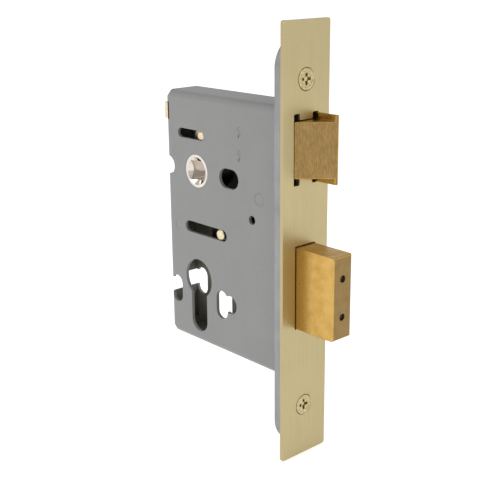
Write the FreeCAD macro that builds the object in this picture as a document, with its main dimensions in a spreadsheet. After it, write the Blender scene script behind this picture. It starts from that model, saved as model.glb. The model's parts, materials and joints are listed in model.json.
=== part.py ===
"""Mortise sash lock for a profile cylinder: case, forends, latch, follower and deadbolt.

Millimetres. The origin is the middle of the forend's front face. +X points out of the door
edge, so the case lies at -X; Y runs across the thickness of the case; +Z is up.
The lock stands as delivered: latch out, deadbolt thrown, follower at rest.
"""
import FreeCAD, Part
import math
import os
import re

import Sketcher
from FreeCAD import Placement, Rotation, Vector

# alias: (value, what it is).  Lengths in mm, angles in degrees.
SIZES = {
    "forend_length": (178.0, "outer forend, end to end"),
    "forend_width": (25.0, "outer forend, across"),
    "outer_forend_thick": (1.5, "brass outer forend"),
    "outer_forend_corner": (1.0, "corner radius of the outer forend"),
    "inner_forend_length": (167.0, "steel inner forend, end to end, with round ends"),
    "inner_forend_width": (24.4, "steel inner forend, across"),
    "inner_forend_thick": (3.5, "steel inner forend"),
    "screw_spacing": (134.0, "distance between the two forend screws"),
    "screw_head_dia": (8.4, "countersunk head"),
    "screw_shank_dia": (4.2, "forend screw shank"),
    "screw_neck_dia": (3.2, "plain neck of a forend screw, thinner than its thread"),
    "screw_neck_spare": (0.3, "how far the neck runs on behind the forends"),
    "screw_length": (15.0, "forend screw, overall"),
    "screw_tip_dia": (1.2, "blunt end of the screw point"),
    "screw_point": (4.0, "length of the screw point"),
    "screw_recess": (1.5, "depth of the cross recess"),
    "screw_recess_span": (4.4, "length of one arm pair of the cross recess"),
    "screw_recess_slot": (1.0, "width of an arm of the cross recess"),
    "screw_hole_gap": (0.15, "radial clearance round a forend screw"),
    "backset": (57.0, "forend face to follower and cylinder centres"),
    "centres": (48.0, "follower centre to cylinder centre"),
    "follower_height": (24.0, "follower centre above the middle of the forend"),
    "case_depth": (77.5, "forend face to the back of the case"),
    "case_above": (33.0, "top of the case above the follower"),
    "case_below": (78.0, "bottom of the case below the follower"),
    "case_thick": (16.0, "case, plate to plate, outside"),
    "plate": (1.4, "case sheet"),
    "cover_gap": (0.1, "play between the cover's edge and the tray's flanges"),
    "case_fold": (3.0, "outside radius of the tray's folds"),
    "case_corner": (2.5, "chamfer of the case's back corners"),
    "corner_gap": (0.5, "how far the flanges stop short of those chamfers"),
    "bolt_hole_dia": (8.3, "handle bolt-through hole"),
    "bolt_hole_pitch": (19.0, "follower centre to a handle bolt hole's near end"),
    "bolt_hole_spread": (3.6, "how much further out the hole's other end lies"),
    "cylinder_dia": (17.3, "round part of the profile cylinder hole"),
    "cylinder_slot_width": (10.4, "narrow part of the profile cylinder hole"),
    "cylinder_hole_height": (33.4, "profile cylinder hole, top to bottom"),
    "rose_hole_pitch": (15.3, "cylinder centre to a rose hole's centre line"),
    "rose_hole_drop": (8.3, "rose hole centre below the cylinder centre"),
    "rose_hole_width": (7.2, "rose hole across"),
    "rose_hole_height": (12.6, "rose hole, top to bottom"),
    "rose_lobe_reach": (5.4, "how far the lobe's centre stands from the rose hole's"),
    "rose_lobe_rise": (1.3, "lobe centre above the rose hole's centre"),
    "rose_lobe_dia": (8.0, "side lobe of the rose hole"),
    "hook_slot_height": (7.6, "slot for the cover's hook in the back edge"),
    "hook_slot_depth": (2.8, "how far that slot cuts into the plate"),
    "hook_slot_rise": (24.0, "slot centre above the follower"),
    "hook_gap": (0.3, "play above and below the hook"),
    "hook_sink": (0.1, "hook's end below the plate's face"),
    "vent_dia": (3.8, "small assembly hole in the plate"),
    "vent_reach": (22.3, "assembly hole behind the forend face"),
    "vent_drop": (14.8, "assembly hole below the follower"),
    "latch_rise": (16.5, "latch centre line above the follower"),
    "latch_throw": (11.0, "latch projection"),
    "latch_width": (12.6, "latch head across the case"),
    "latch_height": (22.0, "bevelled part of the latch head"),
    "latch_lip": (2.5, "lip of the latch's flat side, above and below"),
    "latch_lip_thick": (1.2, "thickness of the latch's flat side"),
    "latch_root": (13.0, "latch head behind the forend face"),
    "latch_nose": (0.6, "flat on the latch's nose"),
    "latch_start": (0.1, "where the bevel starts, in front of the forend"),
    "latch_gap": (0.3, "clearance round the latch in the forends"),
    "latch_notch": (3.1, "width of the corner reliefs of the latch opening"),
    "rod_dia": (5.0, "latch rod"),
    "rod_seat": (6.0, "how far the rod sits in the latch head"),
    "rod_gap": (0.3, "clearance round the latch rod in its guide"),
    "guide_reach": (29.5, "latch guide behind the forend face"),
    "guide_thick": (1.5, "latch guide sheet"),
    "guide_height": (16.0, "latch guide, top to bottom"),
    "guide_lug_pitch": (9.6, "distance between the guide's staked lugs"),
    "guide_lug_dia": (1.8, "staked lug of the latch guide"),
    "spring_wire": (0.8, "latch spring wire"),
    "spring_turns": (5.0, "latch spring turns"),
    "spring_rod_gap": (0.5, "clearance between the latch spring and its rod"),
    "spring_end_gap": (0.2, "clearance at each end of the latch spring"),
    "web_lead": (8.0, "front of the carriage web ahead of the follower centre"),
    "web_thick": (3.0, "carriage web"),
    "carriage_height": (8.0, "carriage, top to bottom"),
    "near_wing_length": (5.6, "carriage wing on the plate side, behind the web"),
    "near_wing_thick": (2.7, "carriage wing on the plate side"),
    "far_wing_thick": (2.0, "carriage wing on the cover side"),
    "drive_pin_dia": (4.0, "carriage pin that the follower's arm pushes"),
    "drive_pin_rise": (14.2, "drive pin above the follower centre"),
    "drive_gap": (0.3, "play between the follower's arm and the drive pin"),
    "wing_behind_pin": (1.6, "carriage wing left behind the drive pin"),
    "guide_pin_dia": (3.7, "latch guide pin in the upper slot"),
    "guide_pin_drop": (1.0, "latch guide pin below the latch centre line"),
    "slot_gap": (0.2, "clearance round a guide pin in its slot"),
    "latch_slot_spare": (1.9, "extra length at the back of the upper slot"),
    "pin_sink": (0.1, "pin ends below the plate's face"),
    "slide_gap": (0.3, "clearance between sliding pieces and the case"),
    "hub_dia": (14.2, "follower hub where it shows"),
    "hub_gap": (0.1, "radial clearance of the follower in the plates"),
    "shoulder_dia": (18.6, "follower between the plates"),
    "boss_dia": (15.4, "follower boss that carries its spring"),
    "boss_length": (2.4, "length of the spring boss"),
    "spindle_square": (8.0, "spindle across flats"),
    "spindle_gap": (0.1, "play round the spindle, each side"),
    "hub_chamfer": (0.6, "lead-in of the spindle hole"),
    "arm_width": (4.0, "follower arm"),
    "arm_length": (21.0, "follower arm from the centre"),
    "arm_near": (-3.0, "plate side of the follower's arm"),
    "arm_far": (1.7, "cover side of the follower's arm"),
    "lug_height": (1.6, "spring lug on the arm and on the cover, along the arm"),
    "lug_length": (3.8, "how far the arm's spring lug stands towards the cover"),
    "stop_lug_width": (3.4, "spring lug on the cover, across the arm"),
    "return_wire": (1.1, "hairpin spring wire"),
    "return_lean": (30.0, "lean of the hairpin spring's legs, in degrees"),
    "return_leg": (8.6, "hairpin spring leg"),
    "bolt_throw": (20.0, "deadbolt projection"),
    "bolt_width": (10.5, "deadbolt head across the case"),
    "bolt_height": (34.0, "deadbolt head, top to bottom"),
    "bolt_drop": (39.0, "deadbolt centre below the follower"),
    "bolt_root": (9.0, "deadbolt head behind the forend face"),
    "bolt_gap": (0.3, "clearance round the deadbolt in the forends"),
    "bolt_edge": (1.0, "edge radius of the deadbolt head"),
    "tail_thick": (3.0, "deadbolt tail sheet"),
    "tail_top": (21.0, "top edge of the tail below the follower"),
    "tail_bottom": (36.5, "tips of the tail's teeth below the follower"),
    "tail_band": (30.0, "underside of the tail below the follower"),
    "tail_foot": (36.0, "lowest point of the tail's front below the follower"),
    "tail_foot_reach": (13.0, "back of that foot behind the forend face"),
    "tail_seat": (8.0, "how far the tail sits in the bolt head"),
    "tail_spare": (1.1, "room behind the tail when the deadbolt is drawn back"),
    "tooth_width": (4.0, "tooth of the tail"),
    "rivet_dia": (3.0, "rivet through bolt head and tail"),
    "rivet_pitch": (8.0, "distance between the two rivets"),
    "rivet_reach": (5.0, "rivets behind the forend face"),
    "roller_dia": (2.6, "hardened rod inside the deadbolt"),
    "roller_pitch": (15.6, "distance between the hardened rods"),
    "roller_sink": (0.8, "rods' ends below the bolt's end face"),
    "roller_length": (18.0, "hardened rod"),
    "bolt_pin_dia": (4.6, "deadbolt guide pin"),
    "bolt_pin_reach": (42.5, "deadbolt guide pin behind the forend face"),
    "bolt_pin_drop": (25.2, "deadbolt guide pin below the follower"),
    "bolt_slot_front": (2.0, "spare length at the front of the lower slot"),
    "detent_lead": (3.5, "tail left between the bolt head and the front detent notch"),
    "detent_depth": (1.4, "depth of a detent notch"),
    "detent_half": (2.2, "half width of a detent notch at its mouth"),
    "detent_wire": (0.8, "detent leaf"),
    "detent_width": (4.0, "detent leaf across the case"),
    "detent_gap": (0.25, "clearance between the detent leaf and the tail"),
    "pillar_dia": (6.0, "case pillar"),
    "pillar_spigot_dia": (5.0, "staked end of a pillar"),
    "front_pillar_reach": (18.1, "front pillar behind the forend face"),
    "front_pillar_drop": (5.5, "front pillar below the follower"),
    "low_pillar_reach": (22.0, "lower pillar behind the forend face"),
    "low_pillar_rise": (8.0, "lower pillar above the bottom of the case"),
    "high_pillar_reach": (66.0, "upper pillar behind the forend face"),
    "high_pillar_drop": (6.0, "upper pillar below the top of the case"),
    "cover_screw_dia": (3.0, "cover screw"),
    "cover_screw_head": (5.4, "cover screw head"),
    "cover_screw_length": (7.0, "cover screw, overall"),
    "cover_slot_width": (0.9, "screwdriver slot"),
    "cover_slot_depth": (0.6, "depth of the screwdriver slot"),
    "arm_tip_radius": (0.8, "rounded end of the follower's arm"),
    "tooth_slope": (3.2, "run-out in front of the front tooth"),
    "cover_head_high": (0.7, "height of a cover screw's head"),
    "cut_spare": (1.0, "how far a cutter runs past the face that it opens"),
    "fit_gap": (0.02, "radial clearance of a pressed, riveted or threaded piece"),
}

SHEET = "Sizes"
BY_LENGTH = sorted(SIZES, key=len, reverse=True)
ALIAS = re.compile(r"(?<![\w.])(" + "|".join(BY_LENGTH) + r")(?!\w)")
FACE_VIEW = {"XZ_Plane": -1.0, "YZ_Plane": 1.0, "XY_Plane": 1.0}
EPS = 1e-4

doc = FreeCAD.newDocument("MortiseLock")
sheet = doc.addObject("Spreadsheet::Sheet", SHEET)
for row, (alias, (value, meaning)) in enumerate(SIZES.items(), start=1):
    sheet.set(f"A{row}", meaning)
    sheet.set(f"B{row}", str(value))
    sheet.setAlias(f"B{row}", alias)
doc.recompute()


def ex(text):
    """An expression for setExpression: every size name becomes a sheet reference."""
    return ALIAS.sub(SHEET + r".\1", text)


def num(text):
    """The same expression's value now, in mm."""
    return float(sheet.evalExpression(text))


# Places that several pieces share, as expressions.
AXIS_X = "(0 - backset)"
FOLLOWER_Z = "follower_height"
CYLINDER_Z = "(follower_height - centres)"
LATCH_Z = "(follower_height + latch_rise)"
BOLT_Z = "(follower_height - bolt_drop)"
CASE_TOP = "(follower_height + case_above)"
CASE_BOTTOM = "(follower_height - case_below)"
CASE_BACK = "(0 - case_depth)"
INNER_FACE = "(0 - outer_forend_thick)"
CASE_FRONT = "(0 - outer_forend_thick - inner_forend_thick)"
NEAR_FACE = "(0 - case_thick / 2)"
NEAR_WALL = "(plate - case_thick / 2)"
FAR_WALL = "(case_thick / 2 - plate)"
FAR_FACE = "(case_thick / 2)"
BOLT_PIN_Z = "(follower_height - bolt_pin_drop)"
TAIL_REACH = "(case_depth - plate - tail_spare - bolt_throw)"
DETENT_REACH = "(bolt_root + slide_gap + detent_half + detent_lead + bolt_throw)"
GUIDE_PIN_Z = f"({LATCH_Z} - guide_pin_drop)"
WEB_FRONT = "(web_lead - backset)"
WEB_BACK = f"({WEB_FRONT} - web_thick)"
LATCH_PIN_X = f"({WEB_BACK} - guide_pin_dia / 2)"
DRIVE_PIN_X = "(0 - backset - arm_width / 2 - drive_gap - drive_pin_dia / 2)"
DRIVE_PIN_Z = "(follower_height + drive_pin_rise)"
FAR_WING = "(arm_far + slide_gap)"
TAIL_FRONT_TOP = f"({BOLT_Z} + bolt_height / 2 - bolt_edge)"
RIVET_Z = f"(({TAIL_FRONT_TOP} + {FOLLOWER_Z} - tail_foot) / 2)"
LUG_TOP = "(follower_height + shoulder_dia / 2 + lug_height)"
PILLARS = {
    "front_pillar": ("(0 - front_pillar_reach)", "(follower_height - front_pillar_drop)"),
    "lower_pillar": ("(0 - low_pillar_reach)", f"({CASE_BOTTOM} + low_pillar_rise)"),
    "upper_pillar": ("(0 - high_pillar_reach)", f"({CASE_TOP} - high_pillar_drop)"),
}


# ---------------------------------------------------------------- sketches and features
def new_body(label):
    """A body for one piece, named for its file."""
    body = doc.addObject("PartDesign::Body", label)
    body.Label = label
    return body


def origin_feature(body, role):
    """One of the body's own origin planes or axes."""
    return next(f for f in body.Origin.OriginFeatures if f.Role == role)


def new_sketch(body, role, level):
    """A sketch on an origin plane, moved to `level` along the plane's global axis."""
    sketch = body.newObject("Sketcher::SketchObject", f"{body.Name}_sketch")
    sketch.AttachmentSupport = [(origin_feature(body, role), "")]
    sketch.MapMode = "FlatFace"
    sign = "-1" if FACE_VIEW[role] < 0 else "1"
    sketch.setExpression("AttachmentOffset.Base.z", ex(f"{sign} * ({level})"))
    return sketch


def tie(sketch, kind, items, value):
    """A driving constraint whose value is an expression."""
    index = sketch.addConstraint(Sketcher.Constraint(kind, *items, num(value)))
    name = f"size_{index}"
    sketch.renameConstraint(index, name)
    sketch.setExpression(f"Constraints.{name}", ex(value))


def tie_point(sketch, geometry, vertex, across, up):
    """Fixes a vertex at (across, up) from the sketch's origin."""
    tie(sketch, "DistanceX", (-1, 1, geometry, vertex), across)
    tie(sketch, "DistanceY", (-1, 1, geometry, vertex), up)


def polygon(sketch, corners):
    """A closed outline of straight lines through corners given as expressions."""
    places = [Vector(num(a), num(b), 0) for a, b in corners]
    lines = [
        sketch.addGeometry(Part.LineSegment(places[i], places[(i + 1) % len(places)]))
        for i in range(len(places))
    ]
    for i, line in enumerate(lines):
        following = lines[(i + 1) % len(lines)]
        sketch.addConstraint(Sketcher.Constraint("Coincident", line, 2, following, 1))
    for line, (across, up) in zip(lines, corners):
        tie_point(sketch, line, 1, across, up)


def rectangle(sketch, left, low, right, high):
    """A rectangle between two corners."""
    polygon(sketch, [(left, low), (right, low), (right, high), (left, high)])


def circle(sketch, across, up, radius):
    """A circle by centre and radius."""
    centre = Vector(num(across), num(up), 0)
    ring = sketch.addGeometry(Part.Circle(centre, Vector(0, 0, 1), num(radius)))
    tie_point(sketch, ring, 3, across, up)
    tie(sketch, "Radius", (ring,), radius)


def obround(sketch, first, second, radius, upright):
    """A slot outline round two centres, one above the other or side by side."""
    a = Vector(num(first[0]), num(first[1]), 0)
    b = Vector(num(second[0]), num(second[1]), 0)
    up = Vector(0, 0, 1)
    turn = math.pi if upright else math.pi / 2
    low = Part.ArcOfCircle(Part.Circle(a, up, num(radius)), turn, turn + math.pi)
    high = Part.ArcOfCircle(Part.Circle(b, up, num(radius)), turn - math.pi, turn)
    arc_a = sketch.addGeometry(low)
    arc_b = sketch.addGeometry(high)
    side_1 = sketch.addGeometry(Part.LineSegment(low.EndPoint, high.StartPoint))
    side_2 = sketch.addGeometry(Part.LineSegment(high.EndPoint, low.StartPoint))
    for pair in ((arc_a, 2, side_1, 1), (side_1, 2, arc_b, 1), (arc_b, 2, side_2, 1)):
        sketch.addConstraint(Sketcher.Constraint("Tangent", *pair))
    sketch.addConstraint(Sketcher.Constraint("Coincident", side_2, 2, arc_a, 1))
    tie_point(sketch, arc_a, 3, *first)
    tie_point(sketch, arc_b, 3, *second)
    tie(sketch, "Radius", (arc_a,), radius)
    sketch.addConstraint(Sketcher.Constraint("Equal", arc_a, arc_b))


def pad(body, sketch, length):
    """Pads towards the positive global axis of the sketch's plane."""
    feature = body.newObject("PartDesign::Pad", f"{body.Name}_pad")
    feature.Profile = sketch
    feature.Reversed = FACE_VIEW[sketch.AttachmentSupport[0][0].Role] < 0
    feature.setExpression("Length", ex(length))
    doc.recompute()
    return feature


def pocket(body, sketch, length):
    """Cuts towards the positive global axis of the sketch's plane and checks that it cut."""
    before = body.Shape.Volume
    feature = body.newObject("PartDesign::Pocket", f"{body.Name}_pocket")
    feature.Profile = sketch
    feature.Reversed = FACE_VIEW[sketch.AttachmentSupport[0][0].Role] > 0
    feature.setExpression("Length", ex(length))
    doc.recompute()
    if body.Shape.Volume > before - EPS:
        raise RuntimeError(f"{feature.Name} cut nothing")
    return feature


def edges_where(feature, test):
    """Names of the edges whose bounding boxes pass a test."""
    found = enumerate(feature.Shape.Edges, start=1)
    return [f"Edge{i}" for i, edge in found if test(edge.BoundBox)]


def flat(box, axis, place):
    """Whether a bounding box is flat on one axis, at a place."""
    low = getattr(box, axis + "Min")
    high = getattr(box, axis + "Max")
    return abs(low - place) < EPS and abs(high - place) < EPS


def fillet(body, feature, edges, radius):
    """A fillet on named edges."""
    rounded = body.newObject("PartDesign::Fillet", f"{body.Name}_fillet")
    rounded.Base = (feature, edges)
    rounded.setExpression("Radius", ex(radius))
    doc.recompute()
    return rounded


def chamfer(body, feature, edges, size):
    """A chamfer on named edges."""
    cut = body.newObject("PartDesign::Chamfer", f"{body.Name}_chamfer")
    cut.Base = (feature, edges)
    cut.setExpression("Size", ex(size))
    doc.recompute()
    return cut


# ---------------------------------------------------------------- primitives and booleans
def block(name, low, high):
    """A box between two corners, each a triple of expressions."""
    box = doc.addObject("Part::Box", name)
    for prop, a, b in zip(("Length", "Width", "Height"), low, high):
        box.setExpression(prop, ex(f"({b}) - ({a})"))
    for axis, a in zip("xyz", low):
        box.setExpression(f"Placement.Base.{axis}", ex(a))
    return box


AXIS_TURN = {
    "x": Rotation(Vector(0, 1, 0), 90),
    "y": Rotation(Vector(1, 0, 0), -90),
}


def rod(name, axis, start, length, radius, end_radius=None):
    """A cylinder, or a cone, from a start point along +X or +Y."""
    kind = "Part::Cylinder" if end_radius is None else "Part::Cone"
    piece = doc.addObject(kind, name)
    piece.Placement = Placement(Vector(), AXIS_TURN[axis])
    if end_radius is None:
        piece.setExpression("Radius", ex(radius))
    else:
        piece.setExpression("Radius1", ex(radius))
        piece.setExpression("Radius2", ex(end_radius))
    piece.setExpression("Height", ex(length))
    for letter, value in zip("xyz", start):
        piece.setExpression(f"Placement.Base.{letter}", ex(value))
    return piece


def fuse(name, shapes):
    """One piece out of several."""
    joined = doc.addObject("Part::MultiFuse", name)
    joined.Shapes = shapes
    joined.Refine = True
    return joined


def cut(name, base, tools):
    """A piece less others."""
    tool = tools[0]
    if len(tools) > 1:
        tool = fuse(f"{name}_tools", tools)
    result = doc.addObject("Part::Cut", name)
    result.Base = base
    result.Tool = tool
    result.Refine = True
    return result


def gather(name, shapes):
    """Several separate solids kept together as one node."""
    group = doc.addObject("Part::Compound", name)
    group.Links = shapes
    return group


PIECES = []


def piece(obj, label=None):
    """Marks a finished piece, which is written to its own file."""
    obj.Label = label or obj.Label
    PIECES.append(obj)
    return obj


# ---------------------------------------------------------------- case and forends
def plate_holes(body, level, depth):
    """Cuts the holes that both case plates share, through `depth` from `level`."""
    cutters = [hub_hole, cylinder_round, cylinder_slot]
    for side in ("+", "-"):
        for shape in (bolt_slot, rose_slot, rose_lobe):
            cutters.append(lambda sketch, shape=shape, side=side: shape(sketch, side))
    for cutter in cutters:
        sketch = new_sketch(body, "XZ_Plane", level)
        cutter(sketch)
        pocket(body, sketch, depth)


def hub_hole(sketch):
    """The hole that the follower's hub turns in."""
    circle(sketch, AXIS_X, FOLLOWER_Z, "hub_dia / 2 + hub_gap")


def bolt_slot(sketch, sign):
    """A handle's bolt-through slot; the rear one breaks out of the case's back edge."""
    near = f"{AXIS_X} {sign} bolt_hole_pitch"
    far = f"{AXIS_X} {sign} (bolt_hole_pitch + bolt_hole_spread)"
    ends = [(near, FOLLOWER_Z), (far, FOLLOWER_Z)]
    if sign == "-":
        ends.reverse()
    obround(sketch, *ends, "bolt_hole_dia / 2", False)


def cylinder_round(sketch):
    """The round of the profile cylinder hole."""
    circle(sketch, AXIS_X, CYLINDER_Z, "cylinder_dia / 2")


def cylinder_slot(sketch):
    """The narrow part of the profile cylinder hole."""
    foot = f"{CYLINDER_Z} + cylinder_dia / 2 - cylinder_hole_height + cylinder_slot_width / 2"
    obround(sketch, (AXIS_X, foot), (AXIS_X, CYLINDER_Z), "cylinder_slot_width / 2", True)


def rose_slot(sketch, sign):
    """An upright slot beside the cylinder hole, for a rose's screw."""
    x = f"{AXIS_X} {sign} rose_hole_pitch"
    half = "(rose_hole_height - rose_hole_width) / 2"
    z = f"{CYLINDER_Z} - rose_hole_drop"
    obround(sketch, (x, f"{z} - {half}"), (x, f"{z} + {half}"), "rose_hole_width / 2", True)


def rose_lobe(sketch, sign):
    """The lobe on the outer side of a rose slot."""
    x = f"{AXIS_X} {sign} (rose_hole_pitch + rose_lobe_reach)"
    z = f"{CYLINDER_Z} - rose_hole_drop + rose_lobe_rise"
    circle(sketch, x, z, "rose_lobe_dia / 2")


def make_case_tray():
    """The folded tray: plate with top, bottom and back flanges, open to forend and cover."""
    body = new_body("case_tray")
    sketch = new_sketch(body, "XZ_Plane", NEAR_FACE)
    case_outline(sketch)
    block_out = pad(body, sketch, "case_thick - plate - cover_gap")
    near = num(NEAR_FACE)
    front = num(CASE_FRONT)
    folds = edges_where(
        block_out, lambda box: flat(box, "Y", near) and not flat(box, "X", front)
    )
    soft = fillet(body, block_out, folds, "case_fold")
    open_far = num(f"{FAR_WALL} - cover_gap")
    faces = enumerate(soft.Shape.Faces, start=1)
    mouths = [
        f"Face{i}"
        for i, face in faces
        if flat(face.BoundBox, "Y", open_far) or flat(face.BoundBox, "X", front)
    ]
    shell = body.newObject("PartDesign::Thickness", "case_tray_shell")
    shell.Base = (soft, mouths)
    shell.Reversed = True
    shell.setExpression("Value", ex("plate"))
    doc.recompute()
    sketch = new_sketch(body, "XZ_Plane", NEAR_WALL)
    gap = "(case_corner + corner_gap)"
    inner = f"{CASE_BACK} + {gap}"
    outer = f"{CASE_BACK} - case_fold"
    rectangle(sketch, outer, f"{CASE_TOP} - {gap}", inner, f"{CASE_TOP} + case_fold")
    rectangle(sketch, outer, f"{CASE_BOTTOM} - case_fold", inner, f"{CASE_BOTTOM} + {gap}")
    pocket(body, sketch, "case_thick")
    plate_holes(body, NEAR_FACE, "case_thick - plate")
    sketch = new_sketch(body, "XZ_Plane", NEAR_FACE)
    back = f"{LATCH_PIN_X} - latch_throw - latch_slot_spare"
    radius = "guide_pin_dia / 2 + slot_gap"
    obround(sketch, (back, GUIDE_PIN_Z), (LATCH_PIN_X, GUIDE_PIN_Z), radius, False)
    back = "0 - bolt_pin_reach - bolt_throw - slot_gap"
    radius = "bolt_pin_dia / 2 + slot_gap"
    front = "bolt_slot_front - bolt_pin_reach"
    obround(sketch, (back, BOLT_PIN_Z), (front, BOLT_PIN_Z), radius, False)
    circle(sketch, "0 - vent_reach", f"{FOLLOWER_Z} - vent_drop", "vent_dia / 2")
    for sign in ("+", "-"):
        lug = f"{LATCH_Z} {sign} guide_lug_pitch / 2"
        circle(sketch, "0 - guide_reach", lug, "guide_lug_dia / 2 + fit_gap")
    for x, z in PILLARS.values():
        circle(sketch, x, z, "pillar_spigot_dia / 2 + fit_gap")
    pocket(body, sketch, "plate")
    sketch = new_sketch(body, "XZ_Plane", NEAR_FACE)
    middle = f"{FOLLOWER_Z} + hook_slot_rise"
    rectangle(
        sketch,
        f"{CASE_BACK} - case_fold",
        f"{middle} - hook_slot_height / 2",
        f"{CASE_BACK} + hook_slot_depth",
        f"{middle} + hook_slot_height / 2",
    )
    pocket(body, sketch, "case_thick - plate")
    return piece(body)


def case_outline(sketch):
    """The case's side outline, with its two back corners cut."""
    polygon(
        sketch,
        [
            (f"{CASE_BACK} + case_corner", CASE_BOTTOM),
            (CASE_FRONT, CASE_BOTTOM),
            (CASE_FRONT, CASE_TOP),
            (f"{CASE_BACK} + case_corner", CASE_TOP),
            (CASE_BACK, f"{CASE_TOP} - case_corner"),
            (CASE_BACK, f"{CASE_BOTTOM} + case_corner"),
        ],
    )


def make_case_cover():
    """The flat cover, with the hook that reaches through the tray's back edge."""
    body = new_body("case_cover")
    sketch = new_sketch(body, "XZ_Plane", FAR_WALL)
    case_outline(sketch)
    pad(body, sketch, "plate")
    plate_holes(body, FAR_WALL, "plate")
    sketch = new_sketch(body, "XZ_Plane", FAR_WALL)
    for x, z in PILLARS.values():
        circle(sketch, x, z, "cover_screw_dia / 2 + fit_gap")
    pocket(body, sketch, "plate")
    sketch = new_sketch(body, "XZ_Plane", f"{NEAR_FACE} + hook_sink")
    middle = f"{FOLLOWER_Z} + hook_slot_rise"
    half = "(hook_slot_height / 2 - hook_gap)"
    hook_front = f"{CASE_BACK} + plate - cover_gap"
    rectangle(sketch, CASE_BACK, f"{middle} - {half}", hook_front, f"{middle} + {half}")
    pad(body, sketch, "case_thick - plate - hook_sink + plate / 2")
    lug_end = f"({FAR_WING} + far_wing_thick + slide_gap)"
    sketch = new_sketch(body, "XZ_Plane", lug_end)
    foot = f"{LUG_TOP} + 2 * slide_gap"
    half = "stop_lug_width / 2"
    rectangle(sketch, f"{AXIS_X} - {half}", foot, f"{AXIS_X} + {half}", f"{foot} + lug_height")
    pad(body, sketch, f"{FAR_FACE} - plate / 2 - {lug_end}")
    return piece(body)


def forend_openings(body, level, depth):
    """Cuts the latch and deadbolt openings through a forend."""
    half = "(latch_width / 2 + latch_gap)"
    inner = "(latch_width / 2 + latch_gap - latch_notch)"
    low = f"({LATCH_Z} - latch_height / 2 - latch_gap)"
    high = f"({LATCH_Z} + latch_height / 2 + latch_gap)"
    foot = f"({low} - latch_lip)"
    crown = f"({high} + latch_lip)"
    sketch = new_sketch(body, "YZ_Plane", level)
    polygon(
        sketch,
        [
            (f"0 - {half}", foot),
            (f"0 - {inner}", foot),
            (f"0 - {inner}", low),
            (inner, low),
            (inner, foot),
            (half, foot),
            (half, crown),
            (inner, crown),
            (inner, high),
            (f"0 - {inner}", high),
            (f"0 - {inner}", crown),
            (f"0 - {half}", crown),
        ],
    )
    rectangle(
        sketch,
        "0 - bolt_width / 2 - bolt_gap",
        f"{BOLT_Z} - bolt_height / 2 - bolt_gap",
        "bolt_width / 2 + bolt_gap",
        f"{BOLT_Z} + bolt_height / 2 + bolt_gap",
    )
    pocket(body, sketch, depth)


def make_outer_forend():
    """The square-ended brass outer forend."""
    body = new_body("outer_forend")
    sketch = new_sketch(body, "YZ_Plane", INNER_FACE)
    half_width = "forend_width / 2"
    half_length = "forend_length / 2"
    rectangle(sketch, f"0 - {half_width}", f"0 - {half_length}", half_width, half_length)
    plate = pad(body, sketch, "outer_forend_thick")
    corners = edges_where(
        plate,
        lambda box: abs(abs(box.Center.z) - num("forend_length") / 2) < EPS
        and abs(abs(box.Center.y) - num("forend_width") / 2) < EPS,
    )
    fillet(body, plate, corners, "outer_forend_corner")
    forend_openings(body, INNER_FACE, "outer_forend_thick")
    front_sink = groove_cone(body)
    return piece(front_sink)


def groove_cone(body):
    """Turns the two countersunk screw holes through a forend."""
    for sign in ("", "0 - "):
        sketch = new_sketch(body, "XY_Plane", f"{sign}screw_spacing / 2")
        shank = "(screw_shank_dia / 2 + screw_hole_gap)"
        head = "(screw_head_dia / 2 + screw_hole_gap)"
        cone = "((screw_head_dia - screw_shank_dia) / 2)"
        deep = f"({CASE_FRONT} - cut_spare)"
        polygon(
            sketch,
            [
                ("cut_spare", "0"),
                ("cut_spare", head),
                ("0", head),
                (f"0 - {cone}", shank),
                (deep, shank),
                (deep, "0"),
            ],
        )
        before = body.Shape.Volume
        turned = body.newObject("PartDesign::Groove", f"{body.Name}_countersink")
        turned.Profile = sketch
        turned.ReferenceAxis = (sketch, ["H_Axis"])
        turned.Angle = 360
        doc.recompute()
        if body.Shape.Volume > before - EPS:
            raise RuntimeError(f"{turned.Name} cut nothing")
    return body


def make_inner_forend():
    """The round-ended steel inner forend that the case is fixed to."""
    body = new_body("inner_forend")
    sketch = new_sketch(body, "YZ_Plane", CASE_FRONT)
    reach = "(inner_forend_length - inner_forend_width) / 2"
    obround(sketch, ("0", f"0 - {reach}"), ("0", reach), "inner_forend_width / 2", True)
    pad(body, sketch, "inner_forend_thick")
    forend_openings(body, CASE_FRONT, "inner_forend_thick")
    return piece(groove_cone(body))


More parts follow.
